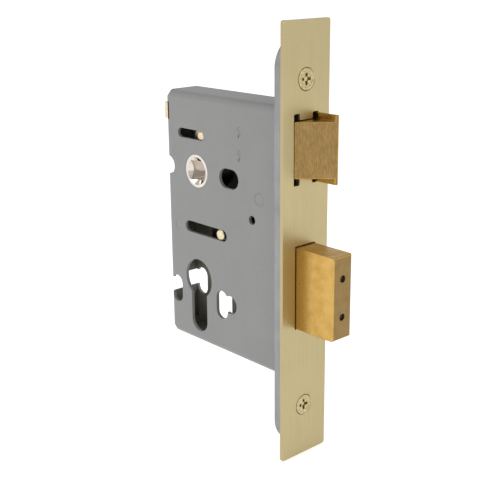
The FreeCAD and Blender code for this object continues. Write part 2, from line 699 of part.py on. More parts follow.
def make_forend_screws():
    """Two countersunk cross-head screws, as one node of two solids."""
    screws = []
    sink = "((screw_head_dia - screw_neck_dia) / 2)"
    neck_end = f"(screw_neck_spare - {CASE_FRONT})"
    shank_end = "(screw_length - screw_point)"
    for name, sign in (("upper", ""), ("lower", "0 - ")):
        z = f"{sign}screw_spacing / 2"
        head = rod(
            f"{name}_screw_head",
            "x",
            (f"0 - {sink}", "0", z),
            sink,
            "screw_neck_dia / 2",
            "screw_head_dia / 2",
        )
        neck = rod(
            f"{name}_screw_neck",
            "x",
            (f"0 - {neck_end}", "0", z),
            f"{neck_end} - {sink}",
            "screw_neck_dia / 2",
        )
        shank = rod(
            f"{name}_screw_shank",
            "x",
            (f"0 - {shank_end}", "0", z),
            f"{shank_end} - {neck_end}",
            "screw_shank_dia / 2",
        )
        point = rod(
            f"{name}_screw_point",
            "x",
            ("0 - screw_length", "0", z),
            "screw_point",
            "screw_tip_dia / 2",
            "screw_shank_dia / 2",
        )
        half_span = "screw_recess_span / 2"
        half_slot = "screw_recess_slot / 2"
        upright = block(
            f"{name}_recess_upright",
            ("0 - screw_recess", f"0 - {half_slot}", f"{z} - {half_span}"),
            ("cut_spare", half_slot, f"{z} + {half_span}"),
        )
        across = block(
            f"{name}_recess_across",
            ("0 - screw_recess", f"0 - {half_span}", f"{z} - {half_slot}"),
            ("cut_spare", half_span, f"{z} + {half_slot}"),
        )
        solid = fuse(f"{name}_screw_blank", [head, neck, shank, point])
        screws.append(cut(f"{name}_forend_screw", solid, [upright, across]))
    return piece(gather("forend_screws", screws))


def make_pillars():
    """Three shouldered pillars staked into the tray, drilled for the cover screws."""
    for label, (x, z) in PILLARS.items():
        length = f"{FAR_WALL} - {NEAR_WALL}"
        post = rod(f"{label}_post", "y", (x, NEAR_WALL, z), length, "pillar_dia / 2")
        spigot = rod(f"{label}_spigot", "y", (x, NEAR_FACE, z), "plate", "pillar_spigot_dia / 2")
        drill = rod(
            f"{label}_drill",
            "y",
            (x, f"{FAR_FACE} - cover_screw_length - cut_spare", z),
            "cover_screw_length + cut_spare",
            "cover_screw_dia / 2 + fit_gap",
        )
        blank = fuse(f"{label}_blank", [post, spigot])
        piece(cut(label, blank, [drill]))


def make_cover_screws():
    """Three slotted cover screws with low heads, as one node of three solids."""
    screws = []
    for label, (x, z) in PILLARS.items():
        place = (x, FAR_FACE, z)
        head = rod(f"{label}_screw_head", "y", place, "cover_head_high", "cover_screw_head / 2")
        shank = rod(
            f"{label}_screw_shank",
            "y",
            (x, f"{FAR_FACE} - cover_screw_length", z),
            "cover_screw_length",
            "cover_screw_dia / 2",
        )
        top = f"{FAR_FACE} + cover_head_high"
        half = "cover_slot_width / 2"
        slot = block(
            f"{label}_screw_slot",
            (f"{x} - cover_screw_head", f"{top} - cover_slot_depth", f"{z} - {half}"),
            (f"{x} + cover_screw_head", f"{top} + cut_spare", f"{z} + {half}"),
        )
        blank = fuse(f"{label}_screw_blank", [head, shank])
        screws.append(cut(f"{label}_screw", blank, [slot]))
    return piece(gather("cover_screws", screws))


# ---------------------------------------------------------------- latch
def make_latch_head():
    """The bevelled brass latch head with its taller flat side."""
    body = new_body("latch_head")
    z = f"({LATCH_Z} - latch_height / 2)"
    half = "latch_width / 2"
    sketch = new_sketch(body, "XY_Plane", z)
    polygon(
        sketch,
        [
            ("0 - latch_root", f"0 - {half}"),
            ("latch_start", f"0 - {half}"),
            ("latch_throw", f"{half} - latch_nose"),
            ("latch_throw", half),
            ("0 - latch_root", half),
        ],
    )
    wedge = pad(body, sketch, "latch_height")
    sketch = new_sketch(body, "XY_Plane", f"{z} - latch_lip")
    slope = "((latch_throw - latch_start) / (latch_width - latch_nose))"
    inner = f"({half} - latch_lip_thick)"
    shoulder = f"(latch_throw - {slope} * (latch_lip_thick - latch_nose))"
    polygon(
        sketch,
        [
            ("0 - latch_root", inner),
            (shoulder, inner),
            ("latch_throw", f"{half} - latch_nose"),
            ("latch_throw", half),
            ("0 - latch_root", half),
        ],
    )
    flange = pad(body, sketch, "latch_height + 2 * latch_lip")
    nose = edges_where(flange, lambda box: flat(box, "X", num("latch_throw")) and box.ZLength > 1)
    fillet(body, flange, nose, "(latch_nose - fit_gap) / 2")
    sketch = new_sketch(body, "YZ_Plane", "0 - latch_root")
    circle(sketch, "0", LATCH_Z, "rod_dia / 2 + fit_gap")
    pocket(body, sketch, "rod_seat")
    return piece(body)


def make_latch_rod():
    """The steel rod between latch head and carriage."""
    length = f"0 - latch_root + rod_seat - {WEB_BACK}"
    return piece(rod("latch_rod", "x", (WEB_BACK, "0", LATCH_Z), length, "rod_dia / 2"))


def make_latch_carriage():
    """The brass carriage on the rod's end: web, short near wing and long far wing."""
    front = WEB_FRONT
    back = WEB_BACK
    low = f"({LATCH_Z} - carriage_height / 2)"
    high = f"({LATCH_Z} + carriage_height / 2)"
    near = f"({NEAR_WALL} + slide_gap)"
    web = block("carriage_web", (back, near, low), (front, f"{FAR_WING} + far_wing_thick", high))
    near_wing = block(
        "carriage_near_wing",
        (f"{back} - near_wing_length", near, low),
        (back, f"{near} + near_wing_thick", high),
    )
    tail = f"({DRIVE_PIN_X} - drive_pin_dia / 2 - wing_behind_pin)"
    far_wing = block(
        "carriage_far_wing", (tail, FAR_WING, low), (back, f"{FAR_WING} + far_wing_thick", high)
    )
    bore = rod(
        "carriage_rod_hole",
        "x",
        (f"{back} - cut_spare", "0", LATCH_Z),
        "web_thick + 2 * cut_spare",
        "rod_dia / 2 + fit_gap",
    )
    pin_hole = rod(
        "carriage_pin_hole",
        "y",
        (LATCH_PIN_X, f"{near} - cut_spare", GUIDE_PIN_Z),
        "near_wing_thick + 2 * cut_spare",
        "guide_pin_dia / 2 + fit_gap",
    )
    drive_hole = rod(
        "carriage_drive_hole",
        "y",
        (DRIVE_PIN_X, f"{FAR_WING} - cut_spare", DRIVE_PIN_Z),
        "far_wing_thick + 2 * cut_spare",
        "drive_pin_dia / 2 + fit_gap",
    )
    blank = fuse("carriage_blank", [web, near_wing, far_wing])
    return piece(cut("latch_carriage", blank, [bore, pin_hole, drive_hole]))


def make_latch_pins():
    """The guide pin in the upper slot and the drive pin in the far wing."""
    near = f"({NEAR_WALL} + slide_gap)"
    guide = rod(
        "latch_guide_pin",
        "y",
        (LATCH_PIN_X, f"{NEAR_FACE} + pin_sink", GUIDE_PIN_Z),
        f"{near} + near_wing_thick - ({NEAR_FACE} + pin_sink)",
        "guide_pin_dia / 2",
    )
    drive = rod(
        "latch_drive_pin",
        "y",
        (DRIVE_PIN_X, "arm_near", DRIVE_PIN_Z),
        f"{FAR_WING} + far_wing_thick - arm_near",
        "drive_pin_dia / 2",
    )
    return piece(guide), piece(drive)


def make_latch_guide():
    """The fixed sheet that guides the rod, with two lugs staked through the plate."""
    x = "0 - guide_reach"
    low = (f"{x} - guide_thick / 2", f"{NEAR_WALL}", f"{LATCH_Z} - guide_height / 2")
    high = (f"{x} + guide_thick / 2", f"{FAR_WALL}", f"{LATCH_Z} + guide_height / 2")
    sheet_piece = block("guide_sheet", low, high)
    lugs = [
        rod(
            f"guide_{name}_lug",
            "y",
            (x, f"{NEAR_FACE} + pin_sink", f"{LATCH_Z} {sign} guide_lug_pitch / 2"),
            "plate + guide_thick",
            "guide_lug_dia / 2",
        )
        for name, sign in (("upper", "+"), ("lower", "-"))
    ]
    place = (f"{x} - guide_thick", "0", LATCH_Z)
    bore = rod("guide_bore", "x", place, "guide_thick * 2", "rod_dia / 2 + rod_gap")
    blank = fuse("guide_blank", [sheet_piece] + lugs)
    return piece(cut("latch_guide", blank, [bore]))


def make_latch_spring():
    """The compression spring between the latch guide and the latch head."""
    body = new_body("latch_spring")
    sketch = new_sketch(body, "XZ_Plane", "0")
    radius = "rod_dia / 2 + spring_rod_gap + spring_wire / 2"
    circle(sketch, radius, "spring_wire / 2", "spring_wire / 2")
    room = "(guide_reach - guide_thick / 2 - latch_root)"
    rise = f"({room} - 2 * spring_end_gap - spring_wire)"
    coil = body.newObject("PartDesign::AdditiveHelix", "latch_spring_coil")
    coil.Profile = sketch
    coil.ReferenceAxis = (origin_feature(body, "Z_Axis"), [""])
    coil.Mode = 0
    coil.setExpression("Pitch", ex(f"{rise} / spring_turns"))
    coil.setExpression("Height", ex(rise))
    start = num(f"0 - latch_root - {room} + spring_end_gap")
    body.Placement = Placement(Vector(start, 0, num(LATCH_Z)), AXIS_TURN["x"])
    doc.recompute()
    return piece(body)


# ---------------------------------------------------------------- follower
def make_follower():
    """The follower: hub with a square spindle hole, spring boss and one arm."""
    body = new_body("follower")
    sketch = new_sketch(body, "XZ_Plane", f"{NEAR_FACE} + pin_sink")
    circle(sketch, AXIS_X, FOLLOWER_Z, "hub_dia / 2")
    pad(body, sketch, "case_thick - 2 * pin_sink")
    sketch = new_sketch(body, "XZ_Plane", f"{NEAR_WALL} + slide_gap")
    circle(sketch, AXIS_X, FOLLOWER_Z, "boss_dia / 2")
    pad(body, sketch, f"{FAR_WALL} - {NEAR_WALL} - 2 * slide_gap")
    sketch = new_sketch(body, "XZ_Plane", f"{NEAR_WALL} + slide_gap")
    circle(sketch, AXIS_X, FOLLOWER_Z, "shoulder_dia / 2")
    pad(body, sketch, f"{FAR_WALL} - {NEAR_WALL} - 2 * slide_gap - boss_length")
    sketch = new_sketch(body, "XZ_Plane", "arm_near")
    left = f"{AXIS_X} - arm_width / 2"
    right = f"{AXIS_X} + arm_width / 2"
    rectangle(sketch, left, FOLLOWER_Z, right, f"{FOLLOWER_Z} + arm_length")
    arm = pad(body, sketch, "arm_far - arm_near")
    tip = edges_where(
        arm,
        lambda box: flat(box, "Z", num(f"{FOLLOWER_Z} + arm_length")) and box.YLength > 1,
    )
    fillet(body, arm, tip, "arm_tip_radius")
    sketch = new_sketch(body, "XZ_Plane", "arm_near")
    low = f"{FOLLOWER_Z} + boss_dia / 2 - slide_gap"
    rectangle(sketch, left, low, right, LUG_TOP)
    pad(body, sketch, "arm_far + lug_length - arm_near")
    sketch = new_sketch(body, "XZ_Plane", NEAR_FACE)
    half = "(spindle_square / 2 + spindle_gap)"
    rectangle(
        sketch,
        f"{AXIS_X} - {half}",
        f"{FOLLOWER_Z} - {half}",
        f"{AXIS_X} + {half}",
        f"{FOLLOWER_Z} + {half}",
    )
    bored = pocket(body, sketch, "case_thick")
    reach = num(half)
    centre = Vector(num(AXIS_X), 0, num(FOLLOWER_Z))
    mouths = edges_where(
        bored,
        lambda box: box.YLength < EPS
        and abs(abs(box.YMin) - num("case_thick / 2 - pin_sink")) < EPS
        and abs(box.Center.x - centre.x) < reach + EPS
        and abs(box.Center.z - centre.z) < reach + EPS
        and max(box.XLength, box.ZLength) < 2 * reach + EPS,
    )
    chamfer(body, bored, mouths, "hub_chamfer")
    return piece(body)


def make_follower_spring():
    """The hairpin spring round the follower's boss, its legs either side of the two lugs."""
    ring = "(boss_dia / 2 + slide_gap + return_wire / 2)"
    level = f"({FAR_WALL} - boss_length + return_wire / 2)"
    lean = num("return_lean")
    bend = doc.addObject("Part::Torus", "hairpin_bend")
    bend.setExpression("Radius1", ex(ring))
    bend.setExpression("Radius2", ex("return_wire / 2"))
    bend.Angle3 = 180 + 2 * lean
    bend.Placement.Rotation = AXIS_TURN["y"].multiply(Rotation(Vector(0, 0, 1), -lean))
    bend.setExpression("Placement.Base.x", ex(AXIS_X))
    bend.setExpression("Placement.Base.y", ex(level))
    bend.setExpression("Placement.Base.z", ex(FOLLOWER_Z))
    legs = []
    for name, side in (("front", 1), ("rear", -1)):
        leg = doc.addObject("Part::Cylinder", f"hairpin_{name}_leg")
        tilt = math.radians(lean)
        along = Vector(-side * math.sin(tilt), 0, math.cos(tilt))
        leg.Placement.Rotation = Rotation(Vector(0, 0, 1), along)
        leg.setExpression("Radius", ex("return_wire / 2"))
        leg.setExpression("Height", ex("return_leg"))
        leg.setExpression("Placement.Base.x", ex(f"{AXIS_X} + {side} * {ring} * cos(return_lean)"))
        leg.setExpression("Placement.Base.y", ex(level))
        leg.setExpression("Placement.Base.z", ex(f"{FOLLOWER_Z} + {ring} * sin(return_lean)"))
        legs.append(leg)
    return piece(fuse("follower_spring", [bend] + legs))


# ---------------------------------------------------------------- deadbolt
def make_deadbolt_head():
    """The brass deadbolt head, slotted for its tail and bored for two hardened rods."""
    body = new_body("deadbolt_head")
    half = "bolt_width / 2"
    low = f"({BOLT_Z} - bolt_height / 2)"
    sketch = new_sketch(body, "XY_Plane", low)
    rectangle(sketch, "0 - bolt_root", f"0 - {half}", "bolt_throw", half)
    bar = pad(body, sketch, "bolt_height")
    front = num("bolt_throw")
    fillet(body, bar, edges_where(bar, lambda box: flat(box, "X", front)), "bolt_edge")
    sketch = new_sketch(body, "YZ_Plane", "bolt_throw - roller_sink - roller_length")
    for sign in ("+", "-"):
        circle(sketch, "0", f"{BOLT_Z} {sign} roller_pitch / 2", "roller_dia / 2 + fit_gap")
    pocket(body, sketch, "roller_sink + roller_length")
    sketch = new_sketch(body, "YZ_Plane", "0 - bolt_root")
    rectangle(
        sketch,
        "0 - tail_thick / 2 - fit_gap",
        f"{BOLT_Z} - bolt_height / 2",
        "tail_thick / 2 + fit_gap",
        f"{BOLT_Z} + bolt_height / 2",
    )
    pocket(body, sketch, "tail_seat")
    sketch = new_sketch(body, "XZ_Plane", f"0 - {half}")
    rivet_circles(sketch)
    pocket(body, sketch, "bolt_width")
    return piece(body)


def rivet_circles(sketch):
    """The two rivet holes of the deadbolt."""
    for sign in ("+", "-"):
        place = ("0 - rivet_reach", f"{RIVET_Z} {sign} rivet_pitch / 2")
        circle(sketch, *place, "rivet_dia / 2 + fit_gap")


def make_deadbolt_tail():
    """The tail sheet: driven by its two teeth, held by its two notches."""
    body = new_body("deadbolt_tail")
    front = "(tail_seat - bolt_root)"
    back = f"(0 - {TAIL_REACH})"
    top = f"({FOLLOWER_Z} - tail_top)"
    band = f"({FOLLOWER_Z} - tail_band)"
    tips = f"({FOLLOWER_Z} - tail_bottom)"
    foot = f"({FOLLOWER_Z} - tail_foot)"
    notch = f"(0 - {DETENT_REACH})"
    second = f"(bolt_throw - {DETENT_REACH})"
    rear_tooth = f"({back} + tooth_width)"
    key_turn = "(backset - bolt_throw / 2)"
    front_tooth = f"(0 - {key_turn} + {TAIL_REACH} - tooth_width - {key_turn})"
    sketch = new_sketch(body, "XZ_Plane", "0 - tail_thick / 2")
    polygon(
        sketch,
        [
            (back, tips),
            (rear_tooth, tips),
            (rear_tooth, band),
            (front_tooth, band),
            (front_tooth, tips),
            (f"{front_tooth} + tooth_width", tips),
            (f"{front_tooth} + tooth_width + tooth_slope", band),
            ("0 - tail_foot_reach", band),
            ("0 - tail_foot_reach", foot),
            (front, foot),
            (front, TAIL_FRONT_TOP),
            ("0 - bolt_root - slide_gap", TAIL_FRONT_TOP),
            ("0 - bolt_root - slide_gap", top),
            (f"{second} + detent_half", top),
            (second, f"{top} - detent_depth"),
            (f"{second} - detent_half", top),
            (f"{notch} + detent_half", top),
            (notch, f"{top} - detent_depth"),
            (f"{notch} - detent_half", top),
            (back, top),
        ],
    )
    pad(body, sketch, "tail_thick")
    sketch = new_sketch(body, "XZ_Plane", "0 - tail_thick / 2")
    rivet_circles(sketch)
    circle(sketch, "0 - bolt_pin_reach", BOLT_PIN_Z, "bolt_pin_dia / 2 + fit_gap")
    pocket(body, sketch, "tail_thick")
    return piece(body)


def make_deadbolt_rivets():
    """Two rivets that hold the tail in the head, as one node of two solids."""
    rivets = [
        rod(
            f"{name}_rivet",
            "y",
            ("0 - rivet_reach", "0 - bolt_width / 2", f"{RIVET_Z} {sign} rivet_pitch / 2"),
            "bolt_width",
            "rivet_dia / 2",
        )
        for name, sign in (("upper", "+"), ("lower", "-"))
    ]
    return piece(gather("deadbolt_rivets", rivets))


def make_hardened_rods():
    """Two hardened rods inside the deadbolt head, as one node of two solids."""
    rods = [
        rod(
            f"{name}_hardened_rod",
            "x",
            ("bolt_throw - roller_sink - roller_length", "0", f"{BOLT_Z} {sign} roller_pitch / 2"),
            "roller_length",
            "roller_dia / 2",
        )
        for name, sign in (("upper", "+"), ("lower", "-"))
    ]
    return piece(gather("hardened_rods", rods))


def make_deadbolt_pin():
    """The pin on the tail that runs in the plate's lower slot."""
    start = f"{NEAR_FACE} + pin_sink"
    place = ("0 - bolt_pin_reach", start, BOLT_PIN_Z)
    length = f"tail_thick / 2 - ({start})"
    return piece(rod("deadbolt_guide_pin", "y", place, length, "bolt_pin_dia / 2"))


def make_detent_spring():
    """The leaf hooked round the front pillar, whose bump sits in the tail's notch."""
    x, z = PILLARS["front_pillar"]
    inner = num("pillar_dia / 2 + detent_gap / 2")
    outer = inner + num("detent_wire")
    centre = Vector(num(x), 0, num(z))
    top = num(f"{FOLLOWER_Z} - tail_top")
    tip = Vector(-num(DETENT_REACH), 0, top + num("detent_gap") + num("detent_wire") / 2)
    away = tip - centre
    middle = (inner + outer) / 2
    lean = math.atan2(away.z, away.x) + math.acos(middle / away.Length)
    touch = centre + Vector(math.cos(lean), 0, math.sin(lean)) * middle
    width = num("detent_width")
    down = Vector(0, -width / 2, 0)
    across = Vector(0, 1, 0)
    ring = Part.makeCylinder(outer, width, centre + down, across)
    ring = ring.cut(Part.makeCylinder(inner, width, centre + down, across))
    gap = Part.makeBox(outer * 2, width, inner, centre + down - Vector(0, 0, inner / 2))
    run = tip - touch
    side = Vector(-run.z, 0, run.x).normalize() * (num("detent_wire") / 2)
    corners = [touch + side, tip + side, tip - side, touch - side, touch + side]
    leg = Part.Face(Part.makePolygon([p + down for p in corners])).extrude(across * width)
    depth = num("detent_depth")
    bump_centre = Vector(tip.x, 0, top + depth / 4 + num("detent_gap"))
    bump = Part.makeCylinder(depth / 2, width, bump_centre + down, across)
    leaf = doc.addObject("Part::Feature", "detent_spring")
    leaf.Shape = ring.cut(gap).fuse([leg, bump]).removeSplitter()
    return piece(leaf)


# ---------------------------------------------------------------- build and write
def build():
    """Makes every piece of the lock."""
    make_case_tray()
    make_case_cover()
    make_inner_forend()
    make_outer_forend()
    make_forend_screws()
    make_pillars()
    make_cover_screws()
    make_latch_head()
    make_latch_rod()
    make_latch_carriage()
    make_latch_pins()
    make_latch_guide()
    make_latch_spring()
    make_follower()
    make_follower_spring()
    make_deadbolt_head()
    make_deadbolt_tail()
    make_deadbolt_rivets()
    make_hardened_rods()
    make_deadbolt_pin()
    make_detent_spring()
    doc.recompute()


def check():
    """Stops if any object failed or any piece has no valid solid."""
    for obj in doc.Objects:
        if {"Invalid", "Error"} & set(obj.State):
            raise RuntimeError(f"{obj.Name} did not recompute: {obj.State}")
    for obj in PIECES:
        shape = obj.Shape
        if shape.isNull() or not shape.isValid() or not shape.Solids:
            raise RuntimeError(f"{obj.Label} has no valid solid")


def write():
    """Writes each piece to its own file."""
    os.makedirs("parts", exist_ok=True)
    for obj in PIECES:
        obj.Shape.exportStep(f"parts/{obj.Label}.step")
        box = obj.Shape.BoundBox
        size = f"{box.XLength:.1f} x {box.YLength:.1f} x {box.ZLength:.1f}"
        print(f"{obj.Label}: {len(obj.Shape.Solids)} solid, {size}")


build()
check()
write()
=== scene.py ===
"""Looks of a mortise sash lock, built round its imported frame.

Pieces are drawn in millimetres in the lock's own frame: +X out of the door's edge, -Y the
staked plate's side, +Z up. A finished piece is scaled to metres and stays at the origin.
"""

import json
import logging
import math
from dataclasses import dataclass
from enum import Enum
from typing import Callable, Iterable, NamedTuple, Sequence

import bmesh
import bpy
from mathutils import Matrix, Vector

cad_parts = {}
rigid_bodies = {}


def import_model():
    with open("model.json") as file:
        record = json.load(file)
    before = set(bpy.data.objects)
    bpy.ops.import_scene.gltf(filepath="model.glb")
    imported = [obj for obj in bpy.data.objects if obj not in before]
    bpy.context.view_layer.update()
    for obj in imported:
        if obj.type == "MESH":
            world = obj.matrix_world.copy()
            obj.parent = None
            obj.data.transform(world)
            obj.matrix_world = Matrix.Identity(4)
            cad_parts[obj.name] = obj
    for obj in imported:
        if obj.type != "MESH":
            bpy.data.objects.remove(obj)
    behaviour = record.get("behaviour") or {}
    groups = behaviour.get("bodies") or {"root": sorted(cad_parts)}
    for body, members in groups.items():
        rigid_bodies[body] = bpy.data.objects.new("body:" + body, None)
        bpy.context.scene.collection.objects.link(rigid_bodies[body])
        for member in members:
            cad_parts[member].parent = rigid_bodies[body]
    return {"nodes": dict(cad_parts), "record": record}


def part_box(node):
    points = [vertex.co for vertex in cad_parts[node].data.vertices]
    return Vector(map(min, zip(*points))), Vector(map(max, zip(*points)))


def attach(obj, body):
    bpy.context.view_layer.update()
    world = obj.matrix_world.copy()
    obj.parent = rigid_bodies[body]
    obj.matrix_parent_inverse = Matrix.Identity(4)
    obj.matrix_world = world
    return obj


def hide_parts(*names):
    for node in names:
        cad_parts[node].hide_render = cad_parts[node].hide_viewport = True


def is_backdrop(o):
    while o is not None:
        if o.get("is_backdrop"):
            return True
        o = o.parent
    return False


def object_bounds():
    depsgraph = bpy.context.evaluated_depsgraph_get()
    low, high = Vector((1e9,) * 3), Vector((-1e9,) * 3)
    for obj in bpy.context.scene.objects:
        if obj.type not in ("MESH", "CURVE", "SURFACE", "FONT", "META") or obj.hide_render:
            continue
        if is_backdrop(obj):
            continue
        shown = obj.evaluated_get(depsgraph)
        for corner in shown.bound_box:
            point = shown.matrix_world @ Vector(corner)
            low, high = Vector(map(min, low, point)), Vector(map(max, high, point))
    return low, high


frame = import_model()

LOG = logging.getLogger("mortise_lock")
MM = 0.001
PILLARS = ("front_pillar", "lower_pillar", "upper_pillar")

# Drawing, in millimetres: CLEAR is how far a cutter stands past what it cuts.
ROUND_STEPS = 72
OBROUND_STEPS = ROUND_STEPS - 2
CORNER_STEPS = 8
BOLT_EDGE_STEPS = 3
ROUND_PROFILE = 0.5
CLEAR = 1.0
SAME_PLACE = 1e-3
SEAM_GAP = 1e-4
WELD_GAP = 2e-3
SHARP_ANGLE = math.radians(32)
FLAT_ANGLE = math.radians(0.5)
FACING = 0.9

# Surfaces: each noise is its detail and roughness, each band the part of it that shows.
STREAK_NOISE = (5.0, 0.62)
BLOTCH_NOISE = (3.0, 0.55)
SPECK_NOISE = (2.0, 0.5)
SPECKS_PER_MM = 2.4
NOISE_BAND = (0.3, 0.7)
SPECK_BAND = (0.60, 0.72)
SPECK_SHADE = (0.35, 0.34, 0.32)
MIX_FACTOR, MIX_A, MIX_B, MIX_RESULT = 0, 6, 7, 2

# A guide pin's end: depth of its dish, then the share of the radius and depth of its ring.
PIN_DISH = 0.12
PIN_RING = (0.4, 0.06)

Tree = bpy.types.NodeTree
Socket = bpy.types.NodeSocket
Colour = tuple[float, float, float]
Span = tuple[float, float]
Point = tuple[float, float]
Edge = bmesh.types.BMEdge
EdgeTest = Callable[[Edge], bool]
Face = bpy.types.MeshPolygon
FacePick = Callable[[Face], int]


# --- finishes ---
class Grain(Enum):
    """The way a brushed or drawn surface's lines run; the value scales the noise per mm."""

    UPRIGHT = (3.2, 3.2, 0.035)
    FINE_UPRIGHT = (4.6, 4.6, 0.4)
    ALONG_X = (0.05, 2.6, 2.6)
    NONE = (0.9, 0.9, 0.9)


@dataclass(frozen=True)
class Finish:
    """One surface finish: a base colour, its streaks, its blotches and its bump.

    Attributes:
        name: Name of the material.
        base: Linear colour of the clean surface.
        tint: Linear colour that the streaks and blotches lean towards.
        metallic: 1 for bare metal, 0 for paint.
        roughness: Roughness of the clean surface.
        spread: How far roughness varies to either side.
        grain: Direction of the streaks.
        streak: How much the streaks colour the surface, 0 to 1.
        blotch: How much the broad blotches colour it, 0 to 1.
        blotch_size: Size of a blotch in mm.
        bump: Height of the streaks and pits in mm.
        speck: How much fine specks darken it, 0 to 1.
        anisotropy: Stretch of the highlight along the grain.
    """

    name: str
    base: Colour
    tint: Colour
    metallic: float = 1.0
    roughness: float = 0.3
    spread: float = 0.08
    grain: Grain = Grain.NONE
    streak: float = 0.5
    blotch: float = 0.5
    blotch_size: float = 9.0
    bump: float = 0.01
    speck: float = 0.0
    anisotropy: float = 0.0

    def build(self) -> bpy.types.Material:
        """Makes the material's nodes.

        Returns:
            The new material.
        """
        material = bpy.data.materials.new(self.name)
        material.use_nodes = True
        tree = material.node_tree
        shader = tree.nodes["Principled BSDF"]
        shader.inputs["Metallic"].default_value = self.metallic
        shader.inputs["Anisotropic"].default_value = self.anisotropy
        place = tree.nodes.new("ShaderNodeTexCoord")
        streaks = self._noise(tree, place, [s / MM for s in self.grain.value], STREAK_NOISE)
        blotches = self._noise(tree, place, [1.0 / (self.blotch_size * MM)] * 3, BLOTCH_NOISE)
        lean = self._weigh(tree, streaks, blotches)
        colour = tree.nodes.new("ShaderNodeMix")
        colour.data_type = "RGBA"
        colour.inputs[MIX_A].default_value = (*self.base, 1.0)
        colour.inputs[MIX_B].default_value = (*self.tint, 1.0)
        tree.links.new(lean, colour.inputs[MIX_FACTOR])
        result = colour.outputs[MIX_RESULT]
        if self.speck:
            result = self._specks(tree, place, result)
        tree.links.new(result, shader.inputs["Base Color"])
        rough = self._range(tree, lean, self.roughness - self.spread, self.roughness + self.spread)
        tree.links.new(rough, shader.inputs["Roughness"])
        bump = tree.nodes.new("ShaderNodeBump")
        bump.inputs["Strength"].default_value = 1.0
        bump.inputs["Distance"].default_value = self.bump * MM
        tree.links.new(streaks, bump.inputs["Height"])
        tree.links.new(bump.outputs["Normal"], shader.inputs["Normal"])
        return material

    @staticmethod
    def _noise(
        tree: Tree, place: bpy.types.Node, scale: Sequence[float], kind: tuple[float, float]
    ) -> Socket:
        """Adds a noise of one kind, stretched by scale, and returns its factor socket."""
        mapping = tree.nodes.new("ShaderNodeMapping")
        mapping.inputs["Scale"].default_value = scale
        noise = tree.nodes.new("ShaderNodeTexNoise")
        noise.inputs["Scale"].default_value = 1.0
        noise.inputs["Detail"].default_value, noise.inputs["Roughness"].default_value = kind
        tree.links.new(place.outputs["Object"], mapping.inputs["Vector"])
        tree.links.new(mapping.outputs["Vector"], noise.inputs["Vector"])
        return noise.outputs["Fac"]

    @staticmethod
    def _range(
        tree: Tree, socket: Socket, low: float, high: float, band: Span = NOISE_BAND
    ) -> Socket:
        """Maps a band of a noise to low..high and returns the socket."""
        node = tree.nodes.new("ShaderNodeMapRange")
        node.inputs["From Min"].default_value, node.inputs["From Max"].default_value = band
        node.inputs["To Min"].default_value = low
        node.inputs["To Max"].default_value = high
        tree.links.new(socket, node.inputs["Value"])
        return node.outputs["Result"]

    def _weigh(self, tree: Tree, streaks: Socket, blotches: Socket) -> Socket:
        """Adds streaks and blotches by their weights and returns the socket."""
        add = tree.nodes.new("ShaderNodeMath")
        add.operation = "ADD"
        add.use_clamp = True
        for index, (socket, weight) in enumerate(((streaks, self.streak), (blotches, self.blotch))):
            tree.links.new(self._range(tree, socket, 0.0, weight), add.inputs[index])
        return add.outputs["Value"]

    def _specks(self, tree: Tree, place: bpy.types.Node, colour: Socket) -> Socket:
        """Darkens a colour by sparse fine specks and returns the socket."""
        specks = self._noise(tree, place, [SPECKS_PER_MM / MM] * 3, SPECK_NOISE)
        mask = self._range(tree, specks, 0.0, self.speck, SPECK_BAND)
        mix = tree.nodes.new("ShaderNodeMix")
        mix.data_type = "RGBA"
        mix.blend_type = "MULTIPLY"
        mix.inputs[MIX_B].default_value = (*SPECK_SHADE, 1.0)
        tree.links.new(mask, mix.inputs[MIX_FACTOR])
        tree.links.new(colour, mix.inputs[MIX_A])
        return mix.outputs[MIX_RESULT]


